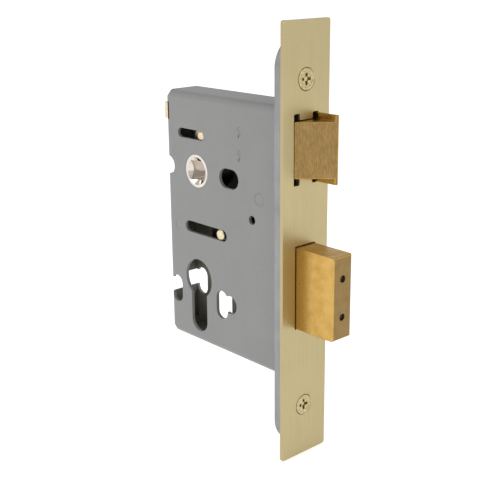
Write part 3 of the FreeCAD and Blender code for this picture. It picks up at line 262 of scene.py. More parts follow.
FINISHES: dict[str, Finish] = {
    "case_steel": Finish(
        "case_grey_plate", (0.232, 0.232, 0.228), (0.195, 0.197, 0.192), metallic=0.0,
        roughness=0.48, spread=0.05, streak=0.25, blotch=0.3, blotch_size=16.0, bump=0.006,
        speck=0.3,
    ),
    # Inside of the case: painted shade, a darker and more olive grey than the outside.
    "case_inner_shaded": Finish(
        "case_inner_painted_shade", (0.18, 0.176, 0.142), (0.13, 0.127, 0.10), metallic=0.0, roughness=0.6,
        spread=0.05, streak=0.3, bump=0.006,
    ),
    "plated_cover": Finish(
        "cover_grey_plate", (0.22, 0.22, 0.214), (0.18, 0.182, 0.174), metallic=0.0, roughness=0.5,
        spread=0.05, streak=0.25, blotch=0.4, blotch_size=11.0, bump=0.006, speck=0.3,
    ),
    "forend_brass": Finish(
        "forend_satin_brass", (0.485, 0.408, 0.23), (0.412, 0.341, 0.18), roughness=0.44,
        spread=0.05, grain=Grain.UPRIGHT, streak=0.55, blotch=0.2, blotch_size=22.0, anisotropy=0.4,
    ),
    "forend_steel": Finish(
        "forend_plated_steel", (0.31, 0.312, 0.308), (0.25, 0.252, 0.248), roughness=0.42,
        grain=Grain.UPRIGHT, blotch=0.4,
    ),
    "screw_brass": Finish(
        "screw_brass_plate", (0.66, 0.57, 0.34), (0.38, 0.31, 0.16), roughness=0.3, spread=0.1,
        streak=0.7, blotch_size=0.9, bump=0.05, speck=0.6,
    ),
    # Latch bevel: brushed brass, darker than the bolt brass round it; the brushing is real, the
    # darkness painted shade.
    "latch_brass": Finish(
        "latch_brushed_shaded_brass", (0.40, 0.262, 0.102), (0.235, 0.145, 0.05), roughness=0.4,
        grain=Grain.FINE_UPRIGHT, streak=0.9, blotch=0.3, blotch_size=5.0, bump=0.03,
    ),
    "bolt_brass": Finish(
        "bolt_drawn_brass", (0.58, 0.38, 0.12), (0.50, 0.285, 0.065), roughness=0.34,
        grain=Grain.FINE_UPRIGHT, streak=0.35, blotch=0.6, blotch_size=5.0, bump=0.012,
    ),
    # Deadbolt's end face: the bolt brass at half brightness, painted shade, with its own upright
    # grain.
    "bolt_end_shade": Finish(
        "bolt_cut_end_painted_shade", (0.287, 0.19, 0.072), (0.218, 0.145, 0.057), roughness=0.45,
        grain=Grain.UPRIGHT, streak=0.4, blotch=0.4, blotch_size=5.0, bump=0.014,
    ),
    "inner_brass": Finish(
        "carriage_brass", (0.55, 0.38, 0.14), (0.36, 0.24, 0.08), roughness=0.36,
        grain=Grain.ALONG_X, blotch=0.4,
    ),
    "pin_cream": Finish(
        "pin_bright_zinc", (0.80, 0.70, 0.47), (0.60, 0.52, 0.33), roughness=0.4, spread=0.1,
        blotch_size=1.2, bump=0.02,
    ),
    "plated_steel": Finish(
        "zinc_plated_steel", (0.55, 0.55, 0.53), (0.38, 0.38, 0.37), roughness=0.36, spread=0.1,
        streak=0.4, blotch_size=3.0,
    ),
    "follower_nickel": Finish(
        "follower_bright_nickel", (0.74, 0.70, 0.65), (0.50, 0.43, 0.36), roughness=0.15,
        spread=0.05, streak=0.15, blotch_size=5.0, bump=0.004,
    ),
    # Near-black steel: the hardened rods and the deadbolt tail, and painted shade on the cover
    # hook's flanks and the follower's shoulder.
    "dark_steel": Finish(
        "oiled_black_steel_and_painted_shade", (0.05, 0.048, 0.045), (0.02, 0.019, 0.018), roughness=0.42, spread=0.1,
        grain=Grain.ALONG_X,
    ),
    "spring_steel": Finish(
        "oiled_spring_wire", (0.13, 0.125, 0.12), (0.07, 0.065, 0.06), roughness=0.3, streak=0.4,
        blotch=0.4, blotch_size=2.0, bump=0.006,
    ),
}


class Palette:
    """Builds each finish once and hands it out by its slot's name."""

    def __init__(self) -> None:
        """Starts with nothing built."""
        self._built: dict[str, bpy.types.Material] = {}

    def get(self, slot: str) -> bpy.types.Material:
        """Returns a slot's material, built at its first use."""
        if slot not in self._built:
            self._built[slot] = FINISHES[slot].build()
        return self._built[slot]


# --- drawing ---
class Plane(Enum):
    """The plane a flat shape is drawn on; it grows along the plane's own axis."""

    SIDE = ((1, 0, 0, 0), (0, 0, 1, 0), (0, 1, 0, 0), (0, 0, 0, 1))
    FRONT = ((0, 0, 1, 0), (1, 0, 0, 0), (0, 1, 0, 0), (0, 0, 0, 1))
    TOP = ((1, 0, 0, 0), (0, 1, 0, 0), (0, 0, 1, 0), (0, 0, 0, 1))

    def matrix(self) -> Matrix:
        """Turns local across, up and out into the frame's axes."""
        return Matrix(self.value)


SIDE, FRONT, TOP = Plane


class Blank:
    """A shape being worked, in millimetres."""

    def __init__(self, plane: Plane) -> None:
        """Starts an empty shape.

        Args:
            plane: The plane its outlines are drawn on.
        """
        self.plane = plane
        self.bm = bmesh.new()

    def slab(self, centre: Point, size: Point, span: Span, corner: float = 0.0) -> "Blank":
        """Adds a rectangular plate.

        Args:
            centre: Its middle on the plane.
            size: Its width and height.
            span: Its start and end along the plane's axis.
            corner: Radius of its corners.

        Returns:
            The same blank.
        """
        made = bmesh.ops.create_grid(self.bm, x_segments=1, y_segments=1, size=0.5)["verts"]
        bmesh.ops.scale(self.bm, verts=made, vec=(size[0], size[1], 1.0))
        if corner:
            bmesh.ops.bevel(
                self.bm, geom=made, offset=corner, offset_type="OFFSET", segments=CORNER_STEPS,
                profile=ROUND_PROFILE, affect="VERTICES", material=-1,
            )
        self.bm.faces.ensure_lookup_table()
        face = self.bm.faces[-1]
        bmesh.ops.translate(self.bm, verts=face.verts[:], vec=(*centre, 0.0))
        return self._grow(face, span)

    def obround(self, start: Point, end: Point, radius: float, span: Span) -> "Blank":
        """Adds a plate with two round ends: a disc pulled long.

        Args:
            start: Middle of the first round end.
            end: Middle of the other one.
            radius: Radius of both ends.
            span: Its start and end along the plane's axis.

        Returns:
            The same blank.
        """
        made = bmesh.ops.create_circle(
            self.bm, cap_ends=True, segments=OBROUND_STEPS, radius=radius
        )["verts"]
        pull = Vector((end[0] - start[0], end[1] - start[1], 0.0))
        ahead = [vert for vert in made if vert.co.dot(pull) > 0]
        bmesh.ops.translate(self.bm, verts=ahead, vec=pull)
        bmesh.ops.translate(self.bm, verts=made, vec=(*start, 0.0))
        return self._grow(made[0].link_faces[0], span)

    def disc(self, centre: Point, radius: float, span: Span, end: float | None = None) -> "Blank":
        """Adds a round bar or cone.

        Args:
            centre: Its middle on the plane.
            radius: Its radius at the start of the span.
            span: Its start and end along the plane's axis.
            end: Its radius at the end of the span, if that differs.

        Returns:
            The same blank.
        """
        last = radius if end is None else end
        move = self.plane.matrix() @ Matrix.Translation((*centre, (span[0] + span[1]) / 2))
        bmesh.ops.create_cone(
            self.bm, cap_ends=True, segments=ROUND_STEPS, radius1=radius, radius2=last,
            depth=span[1] - span[0], matrix=move,
        )
        return self

    def outline(self, points: Sequence[Point], span: Span) -> "Blank":
        """Adds a plate of straight sides.

        Args:
            points: Its corners on the plane, in order.
            span: Its start and end along the plane's axis.

        Returns:
            The same blank.
        """
        made = [self.bm.verts.new((u, v, 0.0)) for u, v in points]
        return self._grow(self.bm.faces.new(made), span)

    def turned(self, profile: Sequence[Point], centre: Point) -> "Blank":
        """Adds a lathe-turned piece.

        Args:
            profile: Radius and place along the axis, from one end on the axis to the other.
            centre: Where the axis stands on the plane.

        Returns:
            The same blank.
        """
        made = [self.bm.verts.new((radius, 0.0, along)) for radius, along in profile]
        edges = [self.bm.edges.new(pair) for pair in zip(made, made[1:])]
        bmesh.ops.spin(
            self.bm, geom=made + edges, cent=(0, 0, 0), axis=(0, 0, 1), dvec=(0, 0, 0),
            angle=math.tau, steps=ROUND_STEPS, use_merge=True,
        )
        bmesh.ops.remove_doubles(self.bm, verts=self.bm.verts[:], dist=SEAM_GAP)
        move = self.plane.matrix() @ Matrix.Translation((*centre, 0.0))
        bmesh.ops.transform(self.bm, matrix=move, verts=self.bm.verts[:])
        return self

    def absorb(self, other: "Blank") -> "Blank":
        """Takes in another blank as one more solid of the same piece."""
        mesh = bpy.data.meshes.new("taken_in")
        other.bm.to_mesh(mesh)
        other.bm.free()
        self.bm.from_mesh(mesh)
        bpy.data.meshes.remove(mesh)
        return self

    def _grow(self, face: bmesh.types.BMFace, span: Span) -> "Blank":
        """Gives a flat face its thickness and puts it on the plane."""
        start = face.verts[:]
        grown = bmesh.ops.extrude_face_region(self.bm, geom=[face], use_keep_orig=True)["geom"]
        top = [item for item in grown if isinstance(item, bmesh.types.BMVert)]
        bmesh.ops.translate(self.bm, verts=start, vec=(0, 0, span[0]))
        bmesh.ops.translate(self.bm, verts=top, vec=(0, 0, span[1]))
        bmesh.ops.transform(self.bm, matrix=self.plane.matrix(), verts=start + top)
        return self

    def soften(self, keep: EdgeTest, radius: float, steps: int) -> "Blank":
        """Rounds the edges that pass a test.

        Args:
            keep: Says which edges to round.
            radius: Radius of the round.
            steps: Faces across the round.

        Returns:
            The same blank.
        """
        round_edges(self.bm, keep, radius, steps)
        return self

    def to_object(self, name: str) -> bpy.types.Object:
        """Ends the work and makes an object of it, still in millimetres.

        Args:
            name: The object's name.

        Returns:
            The new object, linked to the scene.
        """
        bmesh.ops.recalc_face_normals(self.bm, faces=self.bm.faces[:])
        mesh = bpy.data.meshes.new(name)
        self.bm.to_mesh(mesh)
        self.bm.free()
        made = bpy.data.objects.new(name, mesh)
        link(made)
        return made


def link(made: bpy.types.Object) -> None:
    """Puts an object in the scene."""
    bpy.context.scene.collection.objects.link(made)


def lies_at(edge: Edge, axis: int, place: float) -> bool:
    """Whether both ends of an edge are at a place along an axis."""
    return all(abs(vert.co[axis] - place) < SAME_PLACE for vert in edge.verts)


def sharp(edge: Edge) -> bool:
    """Whether an edge is a real corner of the piece."""
    return len(edge.link_faces) == 2 and edge.calc_face_angle() > SHARP_ANGLE


def round_edges(bm: bmesh.types.BMesh, keep: EdgeTest, radius: float, steps: int) -> None:
    """Rounds the edges of a mesh that pass a test.

    Args:
        bm: The mesh.
        keep: Says which edges to round.
        radius: Radius of the round.
        steps: Faces across the round.
    """
    bmesh.ops.bevel(
        bm, geom=[edge for edge in bm.edges if keep(edge)], offset=radius, offset_type="OFFSET",
        segments=steps, profile=ROUND_PROFILE, affect="EDGES", material=-1, clamp_overlap=True,
    )


def combine(base: bpy.types.Object, tools: Iterable[Blank], how: str) -> bpy.types.Object:
    """Cuts tools out of a piece, or adds them to it.

    Args:
        base: The piece.
        tools: Blanks to cut or add; they may overlap each other.
        how: The boolean's name, DIFFERENCE or UNION.

    Returns:
        The same piece with its new mesh.
    """
    rack = bpy.data.collections.new(f"{base.name}_tools")
    bpy.context.scene.collection.children.link(rack)
    for index, tool in enumerate(tools):
        made = tool.to_object(f"{base.name}_tool_{index}")
        bpy.context.scene.collection.objects.unlink(made)
        rack.objects.link(made)
    modifier = base.modifiers.new("work", "BOOLEAN")
    modifier.operation = how
    modifier.solver = "EXACT"
    modifier.operand_type = "COLLECTION"
    modifier.collection = rack
    bpy.context.view_layer.update()
    seen = base.evaluated_get(bpy.context.evaluated_depsgraph_get())
    worked = bpy.data.meshes.new_from_object(seen)
    base.modifiers.clear()
    base.data = worked
    for tool in list(rack.objects):
        bpy.data.objects.remove(tool)
    bpy.data.collections.remove(rack)
    return base


def round_corners(piece: bpy.types.Object, radius: float, steps: int = 2) -> None:
    """Rounds every real corner of a piece.

    Args:
        piece: The piece, in millimetres.
        radius: Radius of the round.
        steps: Faces across the round.
    """
    bm = bmesh.new()
    bm.from_mesh(piece.data)
    bmesh.ops.remove_doubles(bm, verts=bm.verts[:], dist=WELD_GAP)
    bmesh.ops.dissolve_limit(bm, angle_limit=FLAT_ANGLE, verts=bm.verts[:], edges=bm.edges[:])
    round_edges(bm, sharp, radius, steps)
    bm.to_mesh(piece.data)
    bm.free()


@dataclass
class Dresser:
    """Finishes pieces: scales, shades, paints and hangs them on their bodies."""

    palette: Palette

    def finish(
        self, piece: bpy.types.Object, body: str, slot: str, replaced: Sequence[str],
        others: Sequence[str] = (), pick: FacePick | None = None,
    ) -> None:
        """Turns a piece in millimetres into a finished one in metres.

        Args:
            piece: The piece.
            body: The body it rides on.
            slot: The record's slot whose finish it takes.
            replaced: CAD nodes that it stands for.
            others: More finishes, for some of its faces.
            pick: Gives a face its finish: 0 is the slot's own, 1 the first of the others.
        """
        mesh = piece.data
        mesh.materials.clear()
        for name in (slot, *others):
            mesh.materials.append(self.palette.get(name))
        if pick:
            for face in mesh.polygons:
                face.material_index = pick(face)
        mesh.transform(Matrix.Scale(MM, 4))
        mesh.shade_smooth()
        mesh.set_sharp_from_angle(angle=SHARP_ANGLE)
        weigh = piece.modifiers.new("even_shading", "WEIGHTED_NORMAL")
        weigh.keep_sharp = True
        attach(piece, body)
        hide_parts(*replaced)
        LOG.info("%s: %d faces on %s", piece.name, len(mesh.polygons), body)

    def paint_node(self, node: str, slot: str) -> None:
        """Gives a CAD node that keeps its shape its finish."""
        mesh = frame["nodes"][node].data
        mesh.materials.clear()
        mesh.materials.append(self.palette.get(slot))
        LOG.info("%s: CAD shape, %s", node, slot)


def node_box(node: str) -> tuple[Vector, Vector]:
    """A CAD node's lowest and highest corner, in millimetres."""
    low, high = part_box(node)
    return low / MM, high / MM


def node_side(node: str) -> tuple[Point, float]:
    """The middle of a round CAD node seen from the side, and its radius."""
    low, high = node_box(node)
    return ((low.x + high.x) / 2, (low.z + high.z) / 2), (high.x - low.x) / 2


# --- sub-assemblies ---
@dataclass
class Layout:
    """Places that several sub-assemblies share, in millimetres."""

    follower: Point
    cylinder: Point
    latch_z: float
    bolt_z: float

    @classmethod
    def read(cls) -> "Layout":
        """Reads the layout from the frame's mounts and nodes."""
        mounts = {mount["name"]: Vector(mount["pos_m"]) / MM for mount in frame["record"]["mounts"]}
        spindle = mounts["spindle_square"]
        cylinder = mounts["cylinder_bore"]
        latch = node_box("latch_head")
        bolt = node_box("deadbolt_head")
        return cls(
            (spindle.x, spindle.z), (cylinder.x, cylinder.z), (latch[0].z + latch[1].z) / 2,
            (bolt[0].z + bolt[1].z) / 2,
        )


@dataclass
class CaseShell:
    """The folded tray, the flat cover and what holds them together."""

    layout: Layout
    dresser: Dresser
    sheet: float = 1.4
    fold: float = 3.0
    fold_steps: int = 8
    corner: float = 2.5
    slit: Point = (0.9, 6.0)
    hub_hole: float = 7.2
    bolt_hole: float = 4.15
    bolt_near: float = 19.0
    bolt_spread: float = 3.6
    cylinder_round: float = 8.65
    cylinder_leg: float = 5.2
    cylinder_height: float = 33.4
    rose_pitch: float = 15.3
    rose_drop: float = 8.3
    rose_round: float = 3.6
    rose_height: float = 12.6
    lobe: float = 4.0
    lobe_reach: float = 5.4
    lobe_rise: float = 1.3
    vent: float = 1.9
    vent_reach: float = 22.3
    vent_drop: float = 14.8
    slot_play: float = 0.2
    latch_travel: float = 11.0
    latch_spare: float = 1.9
    bolt_travel: float = 20.0
    bolt_spare: float = 2.0
    hook_rise: float = 24.0
    hook_slot: float = 7.6
    hook_depth: float = 2.8
    hook_height: float = 7.0
    hook_thick: float = 1.9
    lug: float = 1.0
    lug_rise: float = 4.8
    dash: float = 0.5
    dash_drop: float = 2.0
    dash_run: Point = (-0.9, -1.9)
    dash_depth: float = 0.3
    press_mark: float = 2.4
    press_depth: float = 0.07
    press_back: float = 12.8
    press_rises: Point = (7.3, -26.0)
    stake: float = 2.5
    stake_play: float = 0.05
    hidden_stake: float = 0.25
    post: float = 3.0
    screw: float = 1.5
    screw_head: float = 2.7
    head_high: float = 0.7
    screw_slot: Point = (8.0, 0.9)
    screw_slot_depth: float = 0.6
    edge: float = 0.16
    through: float = 30.0
    skin_spare: float = 0.05
    screw_tip: Point = (0.2, 0.3)
    dome_edge: float = 0.3
    dome_shoulder: Point = (0.9, 0.08)
    dome_flat: float = 0.6

    def build(self) -> None:
        """Makes the case's pieces."""
        self._tray()
        self._cover()
        for node in PILLARS:
            self._pillar(node)
        self._cover_screws()

    def _outline(self, low: Vector, high: Vector, inset: float) -> list[Point]:
        """The case's side outline with its two back corners cut, drawn in by inset."""
        back = low.x + inset
        foot = low.z + inset
        crown = high.z - inset
        cut = self.corner
        return [
            (back + cut, foot), (high.x + inset, foot), (high.x + inset, crown),
            (back + cut, crown), (back, crown - cut), (back, foot + cut),
        ]

    def _shared_holes(self, span: Span) -> list[Blank]:
        """Cutters for the holes that both plates have."""
        x, z = self.layout.follower
        cx, cz = self.layout.cylinder
        foot = cz + self.cylinder_round - self.cylinder_height + self.cylinder_leg
        tools = [
            Blank(SIDE).disc((x, z), self.hub_hole, span),
            Blank(SIDE).disc((cx, cz), self.cylinder_round, span),
            Blank(SIDE).obround((cx, foot), (cx, cz), self.cylinder_leg, span),
        ]
        half = self.rose_height / 2 - self.rose_round
        for side in (1, -1):
            near = (x + side * self.bolt_near, z)
            far = (x + side * (self.bolt_near + self.bolt_spread), z)
            tools.append(Blank(SIDE).obround(near, far, self.bolt_hole, span))
            rx = cx + side * self.rose_pitch
            rz = cz - self.rose_drop
            tools.append(
                Blank(SIDE).obround((rx, rz - half), (rx, rz + half), self.rose_round, span)
            )
            place = (rx + side * self.lobe_reach, rz + self.lobe_rise)
            tools.append(Blank(SIDE).disc(place, self.lobe, span))
        return tools

    def _tray(self) -> None:
        """The folded tray with all its pressed and pierced holes."""
        low, high = node_box("case_tray")
        wall = self.sheet

        def folded(edge: Edge) -> bool:
            """Whether an edge is folded: on the plate's face, but not at the open front."""
            return lies_at(edge, 1, low.y) and not lies_at(edge, 0, high.x)

        blank = Blank(SIDE).outline(self._outline(low, high, 0.0), (low.y, high.y))
        tray = blank.soften(folded, self.fold, self.fold_steps).to_object("tray_pressing")
        hollow = Blank(SIDE).outline(
            self._outline(low, high, wall), (low.y + wall, high.y + wall)
        )
        floor = low.y + wall
        hollow.soften(lambda edge: lies_at(edge, 1, floor), self.fold - wall, self.fold_steps)
        behind = (low.y + wall, high.y + self.through)
        slit = low.x + self.corner + self.slit[0] / 2
        tools = [hollow]
        for z in (high.z, low.z):
            tools.append(Blank(SIDE).slab((slit, z), self.slit, behind))
        tools += self._shared_holes((low.y - self.through, high.y + self.through))
        tools += self._guide_slots((low.y - wall, low.y + 2 * wall))
        tools += self._small_holes(low.y)
        combine(tray, tools, "DIFFERENCE")
        round_corners(tray, self.edge)
        skin = wall - self.skin_spare

        def inside(face: Face) -> int:
            """1 for a face inside the case, which takes the darker painted shade; 0 for one of its
            outside or of a hole's wall.
            """
            spot = face.center
            deep = spot.y > low.y + skin and spot.x > low.x + skin
            return int(deep and low.z + skin < spot.z < high.z - skin)

        # The faces inside the case take the darker painted shade.
        self.dresser.finish(tray, "case", "case_steel", ["case_tray"], ["case_inner_shaded"], inside)

    def _guide_slots(self, span: Span) -> list[Blank]:
        """Cutters for the two guide slots and the hook's slot."""
        (x, z), radius = node_side("latch_guide_pin")
        back = x - self.latch_travel - self.latch_spare
        tools = [Blank(SIDE).obround((back, z), (x, z), radius + self.slot_play, span)]
        (x, z), radius = node_side("deadbolt_guide_pin")
        back = x - self.bolt_travel - self.slot_play
        front = x + self.bolt_spare
        tools.append(Blank(SIDE).obround((back, z), (front, z), radius + self.slot_play, span))
        hook = (node_box("case_cover")[0].x, self.layout.follower[1] + self.hook_rise)
        deep = (span[0], span[0] + self.through)
        tools.append(Blank(SIDE).slab(hook, (2 * self.hook_depth, self.hook_slot), deep))
        return tools

    def _small_holes(self, face: float) -> list[Blank]:
        """Cutters for the assembly hole, the stakes' holes and the press marks.

        Args:
            face: Where the plate's outer face is.

        Returns:
            The cutters.
        """
        x, z = self.layout.follower
        through = (face - self.sheet, face + 2 * self.sheet)
        tools = [Blank(SIDE).disc((-self.vent_reach, z - self.vent_drop), self.vent, through)]
        (guide, _), _ = node_side("latch_guide")
        for side in (1, -1):
            lug = (guide, self.layout.latch_z + side * self.lug_rise)
            tools.append(Blank(SIDE).disc(lug, self.lug, through))
            start = (guide + self.dash, lug[1] - self.dash_drop)
            end = (start[0] + self.dash_run[0], start[1] + self.dash_run[1] / 2)
            dent = (face - self.sheet, face + self.dash_depth)
            tools.append(Blank(SIDE).obround(start, end, self.dash, dent))
        for rise in self.press_rises:
            mark = (face - self.sheet, face + self.press_depth)
            tools.append(Blank(SIDE).disc((x - self.press_back, z + rise), self.press_mark, mark))
        blind = (face + self.hidden_stake, through[1])
        for node, span in zip(PILLARS, (through, blind, blind)):
            centre, _ = node_side(node)
            tools.append(Blank(SIDE).disc(centre, self.stake + self.stake_play, span))
        return tools

    def _cover(self) -> None:
        """The flat cover with its hook, whose end shows in the tray's back edge."""
        low, high = node_box("case_cover")
        inner_face = high.y - self.sheet
        cover = Blank(SIDE).outline(self._outline(low, high, 0.0), (inner_face, high.y))
        cover = cover.to_object("cover_plate")
        centre = (low.x + self.hook_thick / 2, self.layout.follower[1] + self.hook_rise)
        size = (self.hook_thick, self.hook_height)
        combine(cover, [Blank(SIDE).slab(centre, size, (low.y, high.y - self.edge))], "UNION")
        combine(cover, self._shared_holes((inner_face - CLEAR, high.y + CLEAR)), "DIFFERENCE")
        round_corners(cover, self.edge)

        def part(face: Face) -> int:
            """1 for the hook's cut end, 2 for its flanks, painted near-black as the shade in their
            slot, 3 for the plate's inner face, which takes the darker painted shade.
            """
            if face.center.y < low.y + self.sheet / 2:
                return 1
            if face.center.y < inner_face - self.sheet / 2:
                return 2
            return 3 if face.normal.y < -FACING else 0

        # The hook's flanks are painted near-black as shade, the inner face darker as shade.
        self.dresser.finish(
            cover, "case", "plated_cover", ["case_cover"],
            ["pin_cream", "dark_steel", "case_inner_shaded"], part,
        )

    def _pillar(self, node: str) -> None:
        """A pillar, staked flush in the plate; only the front one's stake shows."""
        low, high = node_box(node)
        centre, _ = node_side(node)
        shown = node == PILLARS[0]
        end = low.y if shown else low.y + self.hidden_stake + self.stake_play
        post = Blank(SIDE).disc(centre, self.post, (low.y + self.sheet, high.y))
        pillar = post.to_object(f"{node}_turned")
        stake = Blank(SIDE).disc(centre, self.stake, (end, low.y + 2 * self.sheet))
        combine(pillar, [stake], "UNION")
        round_corners(pillar, self.edge)
        slot = "case_steel" if shown else "plated_steel"
        self.dresser.finish(pillar, "case", slot, [node])

    def _cover_screws(self) -> None:
        """The slotted cover screws, one piece of several solids."""
        low, high = node_box("cover_screws")
        places = [node_side(node)[0] for node in PILLARS]
        seat = high.y - self.head_high
        rim = self.screw_head
        taper, point = self.screw_tip
        share, drop = self.dome_shoulder
        profile = [
            (0.0, low.y), (self.screw - taper, low.y), (self.screw, low.y + point),
            (self.screw, seat), (rim, seat), (rim, high.y - self.dome_edge),
            (share * rim, high.y - drop), (self.dome_flat * rim, high.y), (0.0, high.y),
        ]
        blank = Blank(SIDE)
        for centre in places:
            blank.absorb(Blank(SIDE).turned(profile, centre))
        screws = blank.to_object("cover_screw_set")
        cut = (high.y - self.screw_slot_depth, high.y + CLEAR)
        slots = [Blank(SIDE).slab(centre, self.screw_slot, cut) for centre in places]
        combine(screws, slots, "DIFFERENCE")
        self.dresser.finish(screws, "case", "plated_steel", ["cover_screws"])


@dataclass
class Forends:
    """The brass outer forend, the steel inner one and their two screws."""

    layout: Layout
    dresser: Dresser
    corner: float = 1.0
    play: float = 0.3
    relief_width: float = 3.1
    relief_height: float = 2.5
    relief_corner: float = 0.6
    latch_height: float = 22.0
    bolt_size: Point = (10.5, 34.0)
    head: float = 4.2
    head_play: float = 0.45
    hole: float = 2.25
    neck: float = 1.6
    neck_spare: float = 0.3
    shank: float = 2.1
    point: float = 4.0
    tip: float = 0.6
    pitch: float = 1.4
    thread_depth: float = 0.45
    pit: Point = (1.15, 1.55)
    pit_reach: float = 1.55
    pit_depth: float = 1.7
    dish: float = 1.2
    dish_depth: float = 0.65
    rim: float = 1.0
    sunk: float = 0.22
    edge: float = 0.2
    pit_corner: float = 0.3
    thread_steps: tuple[float, float, float] = (0.6, 0.78, 0.86)
    rim_rise: Point = (0.1, 0.4)

    def build(self) -> None:
        """Makes the forends and their screws."""
        low, high = node_box("outer_forend")
        size = (high.y - low.y, high.z - low.z)
        outer = Blank(FRONT).slab((0.0, 0.0), size, (low.x, high.x), self.corner)
        self._open(outer.to_object("outer_forend_plate"), "outer_forend", "forend_brass")
        low, high = node_box("inner_forend")
        end = high.z - high.y
        inner = Blank(FRONT).obround((0.0, -end), (0.0, end), high.y, (low.x, high.x))
        self._open(inner.to_object("inner_forend_plate"), "inner_forend", "forend_steel")
        self._screws()

    def _open(self, plate: bpy.types.Object, node: str, slot: str) -> None:
        """Cuts a forend's openings and finishes it."""
        combine(plate, self._openings(), "DIFFERENCE")
        round_corners(plate, self.edge)
        self.dresser.finish(plate, "case", slot, [node])

    def _openings(self) -> list[Blank]:
        """Cutters for the latch, deadbolt and screw holes of a forend."""
        span = (node_box("inner_forend")[0].x - CLEAR, CLEAR)
        half = node_box("latch_head")[1].y + self.play
        tall = self.latch_height + 2 * self.play
        z = self.layout.latch_z
        tools = [Blank(FRONT).slab((0.0, z), (2 * half, tall), span)]
        relief = (self.relief_width, tall + 2 * self.relief_height)
        rim = self.head + self.head_play
        for side in (1, -1):
            middle = (side * (half - self.relief_width / 2), z)
            tools.append(Blank(FRONT).slab(middle, relief, span, self.relief_corner))
            place = (0.0, side * self._screw_z())
            cone = (self.hole - rim, self.head_play)
            tools.append(Blank(FRONT).disc(place, self.hole, span))
            tools.append(Blank(FRONT).disc(place, self.hole, cone, rim + self.head_play))
        bolt = (self.bolt_size[0] + 2 * self.play, self.bolt_size[1] + 2 * self.play)
        tools.append(Blank(FRONT).slab((0.0, self.layout.bolt_z), bolt, span))
        return tools

    def _screw_z(self) -> float:
        """How far the screws stand from the forend's middle."""
        low, high = node_box("forend_screws")
        return (high.z - low.z) / 2 - self.head

    def _screw_profile(self) -> list[Point]:
        """A forend screw's profile: point, thread, neck and countersunk head."""
        low, _ = node_box("forend_screws")
        neck_end = node_box("inner_forend")[0].x - self.neck_spare
        root = self.shank - self.thread_depth
        root_end, crest, crest_end = self.thread_steps
        profile = [(0.0, low.x), (self.tip / 2, low.x)]
        x = low.x + self.pitch / 3
        while x < neck_end - self.pitch:
            share = min(1.0, (x - low.x) / self.point)
            low_radius = self.tip / 2 + (root - self.tip / 2) * share
            high_radius = self.tip + (self.shank - self.tip) * share
            profile += [
                (low_radius, x), (low_radius, x + root_end * self.pitch),
                (high_radius, x + crest * self.pitch), (high_radius, x + crest_end * self.pitch),
            ]
            x += self.pitch
        cone = self.head - self.neck
        return profile + [
            (self.neck, neck_end), (self.neck, -cone), (self.head, -2 * self.sunk),
            (self.head - self.rim_rise[0], -0.5 * self.sunk), (self.head - self.rim_rise[1], 0.0),
            (self.head - self.rim, -0.2 * self.sunk), (self.head - 1.2 * self.rim, -self.sunk),
            (0.0, -self.sunk),
        ]

    def _screws(self) -> None:
        """The two cross-head countersunk screws, with turned threads."""
        blank = Blank(FRONT)
        tools = []
        for side in (1, -1):
            place = (0.0, side * self._screw_z())
            blank.absorb(Blank(FRONT).turned(self._screw_profile(), place))
            tools.append(Blank(FRONT).disc(place, self.dish, (-self.dish_depth, CLEAR)))
            for turn in (-1, 1):
                beside = (turn * self.pit_reach, place[1])
                above = (0.0, place[1] + turn * self.pit_reach)
                deep = (-self.pit_depth, CLEAR)
                for spot, shape in ((beside, self.pit[::-1]), (above, self.pit)):
                    tools.append(Blank(FRONT).slab(spot, shape, deep, self.pit_corner))
        screws = combine(blank.to_object("forend_screw_set"), tools, "DIFFERENCE")
        self.dresser.finish(screws, "case", "screw_brass", ["forend_screws"])


@dataclass
class LatchGroup:
    """The bevelled latch with its rod, carriage and pins."""

    layout: Layout
    dresser: Dresser
    body_height: float = 22.0
    lip_thick: float = 1.2
    nose: float = 0.6
    bevel_start: float = 0.1
    edge: float = 0.3
    pin_edge: float = 0.35
    bevel_facing: float = 0.5
    bevel_lean: float = 0.3

    def build(self) -> None:
        """Makes the latch's pieces."""
        self._head()
        turned_pin(self.dresser, "latch_guide_pin", "latch_group", self.pin_edge)
        for node, slot in (
            ("latch_rod", "plated_steel"), ("latch_carriage", "inner_brass"),
            ("latch_drive_pin", "plated_steel"), ("latch_guide", "case_steel"),
            ("latch_spring", "spring_steel"),
        ):
            self.dresser.paint_node(node, slot)

    def _head(self) -> None:
        """The latch head: a bevelled body and a taller flat side."""
        low, high = node_box("latch_head")
        z = self.layout.latch_z
        wide = high.y
        half = self.body_height / 2
        wedge = [
            (low.x, -wide), (self.bevel_start, -wide), (high.x, wide - self.nose),
            (high.x, wide), (low.x, wide),
        ]
        head = Blank(TOP).outline(wedge, (low.z, high.z)).to_object("latch_bolt_head")
        behind_lip = wide - self.lip_thick
        middle = ((low.x + high.x) / 2, behind_lip - wide)
        size = (2 * (high.x - low.x), 2 * wide)
        spare = [
            Blank(TOP).slab(middle, size, (z + half, high.z + CLEAR)),
            Blank(TOP).slab(middle, size, (low.z - CLEAR, z - half)),
        ]
        combine(head, spare, "DIFFERENCE")
        round_corners(head, self.edge, BOLT_EDGE_STEPS)

        def drawn(face: Face) -> int:
            """0 for the brushed bevel, darker as painted shade, 1 for the drawn faces round it."""
            across, along, up = face.normal
            bevel = across >= self.bevel_facing and along <= -self.bevel_lean
            return int(not bevel or abs(up) > self.bevel_lean)

        self.dresser.finish(
            head, "latch_group", "latch_brass", ["latch_head"], ["bolt_brass"], drawn
        )


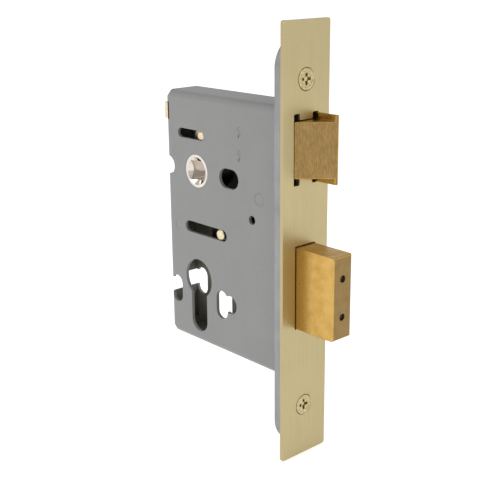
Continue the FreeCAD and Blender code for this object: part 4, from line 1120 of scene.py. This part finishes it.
def turned_pin(dresser: Dresser, node: str, body: str, edge: float) -> None:
    """Replaces a guide pin by a turned one with a faced, faintly dished end.

    Args:
        dresser: What finishes it.
        node: The pin's CAD node.
        body: The body it rides on.
        edge: The chamfer round its end.
    """
    low, high = node_box(node)
    centre, radius = node_side(node)
    profile = [
        (0.0, low.y + PIN_DISH), (PIN_RING[0] * radius, low.y + PIN_RING[1]), (radius - edge, low.y),
        (radius, low.y + edge), (radius, high.y), (0.0, high.y),
    ]
    pin = Blank(SIDE).turned(profile, centre).to_object(f"{node}_turned")
    dresser.finish(pin, body, "pin_cream", [node])


@dataclass
class FollowerGroup:
    """The follower with its square hole, and the hairpin spring that turns it back."""

    layout: Layout
    dresser: Dresser
    hub: float = 7.1
    boss: float = 7.7
    shoulder: float = 9.3
    boss_length: float = 2.4
    inside: float = 6.3
    square: float = 8.2
    square_corner: float = 0.25
    lead_in: float = 6.0
    lead_foot: float = 3.9
    arm: float = 4.0
    arm_span: Span = (-3.0, 1.7)
    spring_lug: Span = (-3.0, 5.5)
    lug_foot: float = 7.5
    lug_top: float = 10.9
    lead_spare: float = 0.5
    edge: float = 0.2

    def build(self) -> None:
        """Makes the follower and paints its spring."""
        low, high = node_box("follower")
        x, z = self.layout.follower
        hub = Blank(SIDE).disc((x, z), self.hub, (low.y, high.y)).to_object("follower_hub")
        lug = ((x, z + (self.lug_foot + self.lug_top) / 2), (self.arm, self.lug_top - self.lug_foot))
        arm = ((x, (z + high.z) / 2), (self.arm, high.z - z))
        inside = self.inside
        combine(hub, [
            Blank(SIDE).disc((x, z), self.boss, (-inside, inside)),
            Blank(SIDE).disc((x, z), self.shoulder, (-inside, inside - self.boss_length)),
            Blank(SIDE).slab(*arm, self.arm_span),
            Blank(SIDE).slab(*lug, self.spring_lug),
        ], "UNION")
        cone = self.lead_in - self.lead_foot
        rim = self.lead_in + self.lead_spare
        foot = self.lead_foot
        front = (low.y - self.lead_spare, low.y + cone)
        back = (high.y - cone, high.y + self.lead_spare)
        through = (low.y - CLEAR, high.y + CLEAR)
        size = (self.square, self.square)
        combine(hub, [
            Blank(SIDE).slab((x, z), size, through, self.square_corner),
            Blank(SIDE).disc((x, z), rim, front, foot),
            Blank(SIDE).disc((x, z), foot, back, rim),
        ], "DIFFERENCE")
        round_corners(hub, self.edge)

        def painted_shade_beyond_hub(face: Face) -> int:
            """1 for what stands wider than the plated hub, painted near-black as shade; 0 for the
            hub.
            """
            reach = math.hypot(face.center.x - x, face.center.z - z)
            return int(reach > self.hub + self.edge)

        # The follower's shoulder, arm and lug take near-black painted shade.
        self.dresser.finish(
            hub, "follower_group", "follower_nickel", ["follower"], ["dark_steel"], painted_shade_beyond_hub
        )
        self.dresser.paint_node("follower_spring", "spring_steel")


@dataclass
class DeadboltGroup:
    """The deadbolt head, its tail, and the parts that hold and guide them."""

    layout: Layout
    dresser: Dresser
    rod_hole: float = 1.45
    rod_pitch: float = 15.6
    rod_bore: float = 19.0
    tail_play: float = 0.04
    edge: float = 0.25
    end_edge: float = 0.9
    end_steps: int = 5
    pin_edge: float = 0.4

    def build(self) -> None:
        """Makes the deadbolt's pieces."""
        self._head()
        turned_pin(self.dresser, "deadbolt_guide_pin", "deadbolt_group", self.pin_edge)
        for node, slot in (
            ("deadbolt_tail", "dark_steel"), ("deadbolt_rivets", "bolt_brass"),
            ("hardened_rods", "dark_steel"), ("detent_spring", "spring_steel"),
        ):
            self.dresser.paint_node(node, slot)

    def _head(self) -> None:
        """The rectangular head with its two drilled holes."""
        low, high = node_box("deadbolt_head")
        size = (high.y - low.y, high.z - low.z)
        middle = (0.0, self.layout.bolt_z)
        blank = Blank(FRONT).slab(middle, size, (low.x, high.x))
        blank.soften(lambda edge: lies_at(edge, 0, high.x), self.end_edge, self.end_steps)
        head = blank.to_object("deadbolt_bolt_head")
        round_corners(head, self.edge, BOLT_EDGE_STEPS)
        tail = node_box("deadbolt_tail")
        slot = (tail[1].y - tail[0].y + self.tail_play, size[1] + 2 * CLEAR)
        tools = [Blank(FRONT).slab(middle, slot, (low.x - CLEAR, tail[1].x))]
        for side in (1, -1):
            place = (0.0, self.layout.bolt_z + side * self.rod_pitch / 2)
            bore = (high.x - self.rod_bore, high.x + CLEAR)
            tools.append(Blank(FRONT).disc(place, self.rod_hole, bore))
        combine(head, tools, "DIFFERENCE")
        # The end face takes the darker brass: painted shade.
        end = high.x - self.edge
        self.dresser.finish(
            head, "deadbolt_group", "bolt_brass", ["deadbolt_head"], ["bolt_end_shade"],
            lambda face: int(face.normal.x > FACING and face.center.x > end),
        )


# --- studio ---
class Lamp(NamedTuple):
    """A square soft light, in metres and watts."""

    name: str
    place: tuple[float, float, float]
    size: float
    power: float


@dataclass
class Studio:
    """The pale floor, the soft light and the camera."""

    azimuth: float = 48.217
    elevation: float = 16.582
    roll: float = -0.638
    distance: float = 0.394425
    lens: float = 71.59
    sensor: float = 36.0
    aim: Vector = Vector((-0.025, 0.0, 0.0))
    aim_across: float = -0.0090625
    aim_up: float = -0.00121995
    floor_gap: float = 0.0005
    floor_size: float = 30.0
    floor_glow: float = 0.48
    floor_shade: Colour = (0.94, 0.94, 0.94)
    floor_rough: float = 0.9
    floor_sheen: float = 0.1
    dome_strength: float = 0.82
    zenith_shade: Colour = (0.72, 0.72, 0.73)
    zenith_start: float = 0.9
    clip: Span = (0.01, 100.0)
    lamps: tuple[Lamp, ...] = (
        Lamp("key_light", (-0.35, -0.9, 0.75), 0.8, 4.0),
        Lamp("forend_light", (0.9, 0.35, 0.5), 0.7, 2.0),
    )

    def build(self) -> None:
        """Makes the studio."""
        self._camera()
        self._floor()
        self._world()
        self._lights()
        view = bpy.context.scene.view_settings
        view.view_transform = "Standard"
        view.look = "None"

    def _axes(self) -> tuple[Vector, Vector, Vector]:
        """The camera's right, up and backward directions."""
        turn = math.radians(self.azimuth)
        lift = math.radians(self.elevation)
        back = Vector(
            (math.sin(turn) * math.cos(lift), -math.cos(turn) * math.cos(lift), math.sin(lift))
        )
        right = Vector((0, 0, 1)).cross(back).normalized()
        up = back.cross(right)
        tilt = math.radians(self.roll)
        level = math.cos(tilt) * right + math.sin(tilt) * up
        upright = -math.sin(tilt) * right + math.cos(tilt) * up
        return level, upright, back

    def _camera(self) -> None:
        """The camera, with a long lens and no tricks."""
        right, up, back = self._axes()
        aim = self.aim + right * self.aim_across + up * self.aim_up
        data = bpy.data.cameras.new("studio_camera")
        data.lens = self.lens
        data.sensor_width = self.sensor
        data.clip_start, data.clip_end = self.clip
        camera = bpy.data.objects.new("studio_camera", data)
        turn = Matrix((right, up, back)).transposed().to_4x4()
        camera.matrix_world = Matrix.Translation(aim + back * self.distance) @ turn
        link(camera)
        bpy.context.scene.camera = camera

    def _floor(self) -> None:
        """A plain pale floor just under the forend's foot."""
        low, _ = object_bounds()
        bm = bmesh.new()
        bmesh.ops.create_grid(bm, x_segments=1, y_segments=1, size=self.floor_size)
        bmesh.ops.translate(bm, verts=bm.verts[:], vec=(0, 0, low.z - self.floor_gap))
        mesh = bpy.data.meshes.new("studio_floor")
        bm.to_mesh(mesh)
        bm.free()
        floor = bpy.data.objects.new("studio_floor", mesh)
        material = bpy.data.materials.new("floor_pale")
        material.use_nodes = True
        shader = material.node_tree.nodes["Principled BSDF"]
        shader.inputs["Base Color"].default_value = (*self.floor_shade, 1.0)
        shader.inputs["Roughness"].default_value = self.floor_rough
        shader.inputs["Specular IOR Level"].default_value = self.floor_sheen
        shader.inputs["Emission Color"].default_value = (1.0, 1.0, 1.0, 1.0)
        shader.inputs["Emission Strength"].default_value = self.floor_glow
        mesh.materials.append(material)
        link(floor)
        floor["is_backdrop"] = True

    def _world(self) -> None:
        """A white dome that is dimmer overhead."""
        world = bpy.data.worlds.new("studio_dome")
        world.use_nodes = True
        tree = world.node_tree
        back = tree.nodes["Background"]
        place = tree.nodes.new("ShaderNodeTexCoord")
        split = tree.nodes.new("ShaderNodeSeparateXYZ")
        ramp = tree.nodes.new("ShaderNodeValToRGB")
        level, zenith = ramp.color_ramp.elements
        level.position = 0.0
        level.color = (1.0, 1.0, 1.0, 1.0)
        zenith.position = self.zenith_start
        zenith.color = (*self.zenith_shade, 1.0)
        tree.links.new(place.outputs["Generated"], split.inputs["Vector"])
        tree.links.new(split.outputs["Z"], ramp.inputs["Fac"])
        tree.links.new(ramp.outputs["Color"], back.inputs["Color"])
        back.inputs["Strength"].default_value = self.dome_strength
        bpy.context.scene.world = world

    def _lights(self) -> None:
        """One broad key light on the plate's side and one by the forend."""
        for lamp in self.lamps:
            data = bpy.data.lights.new(lamp.name, "AREA")
            data.energy = lamp.power
            data.size = lamp.size
            light = bpy.data.objects.new(lamp.name, data)
            light.location = lamp.place
            aim = Vector(lamp.place) - self.aim
            light.rotation_euler = aim.to_track_quat("Z", "Y").to_euler()
            link(light)


def main() -> None:
    """Builds the lock's pieces in order, then the studio round them."""
    logging.basicConfig(level=logging.INFO, format="%(name)s: %(message)s")
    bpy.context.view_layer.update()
    layout = Layout.read()
    dresser = Dresser(Palette())
    for assembly in (CaseShell, Forends, LatchGroup, FollowerGroup, DeadboltGroup):
        assembly(layout, dresser).build()
        LOG.info("%s built", assembly.__name__)
    Studio().build()


if __name__ == "__main__":
    main()
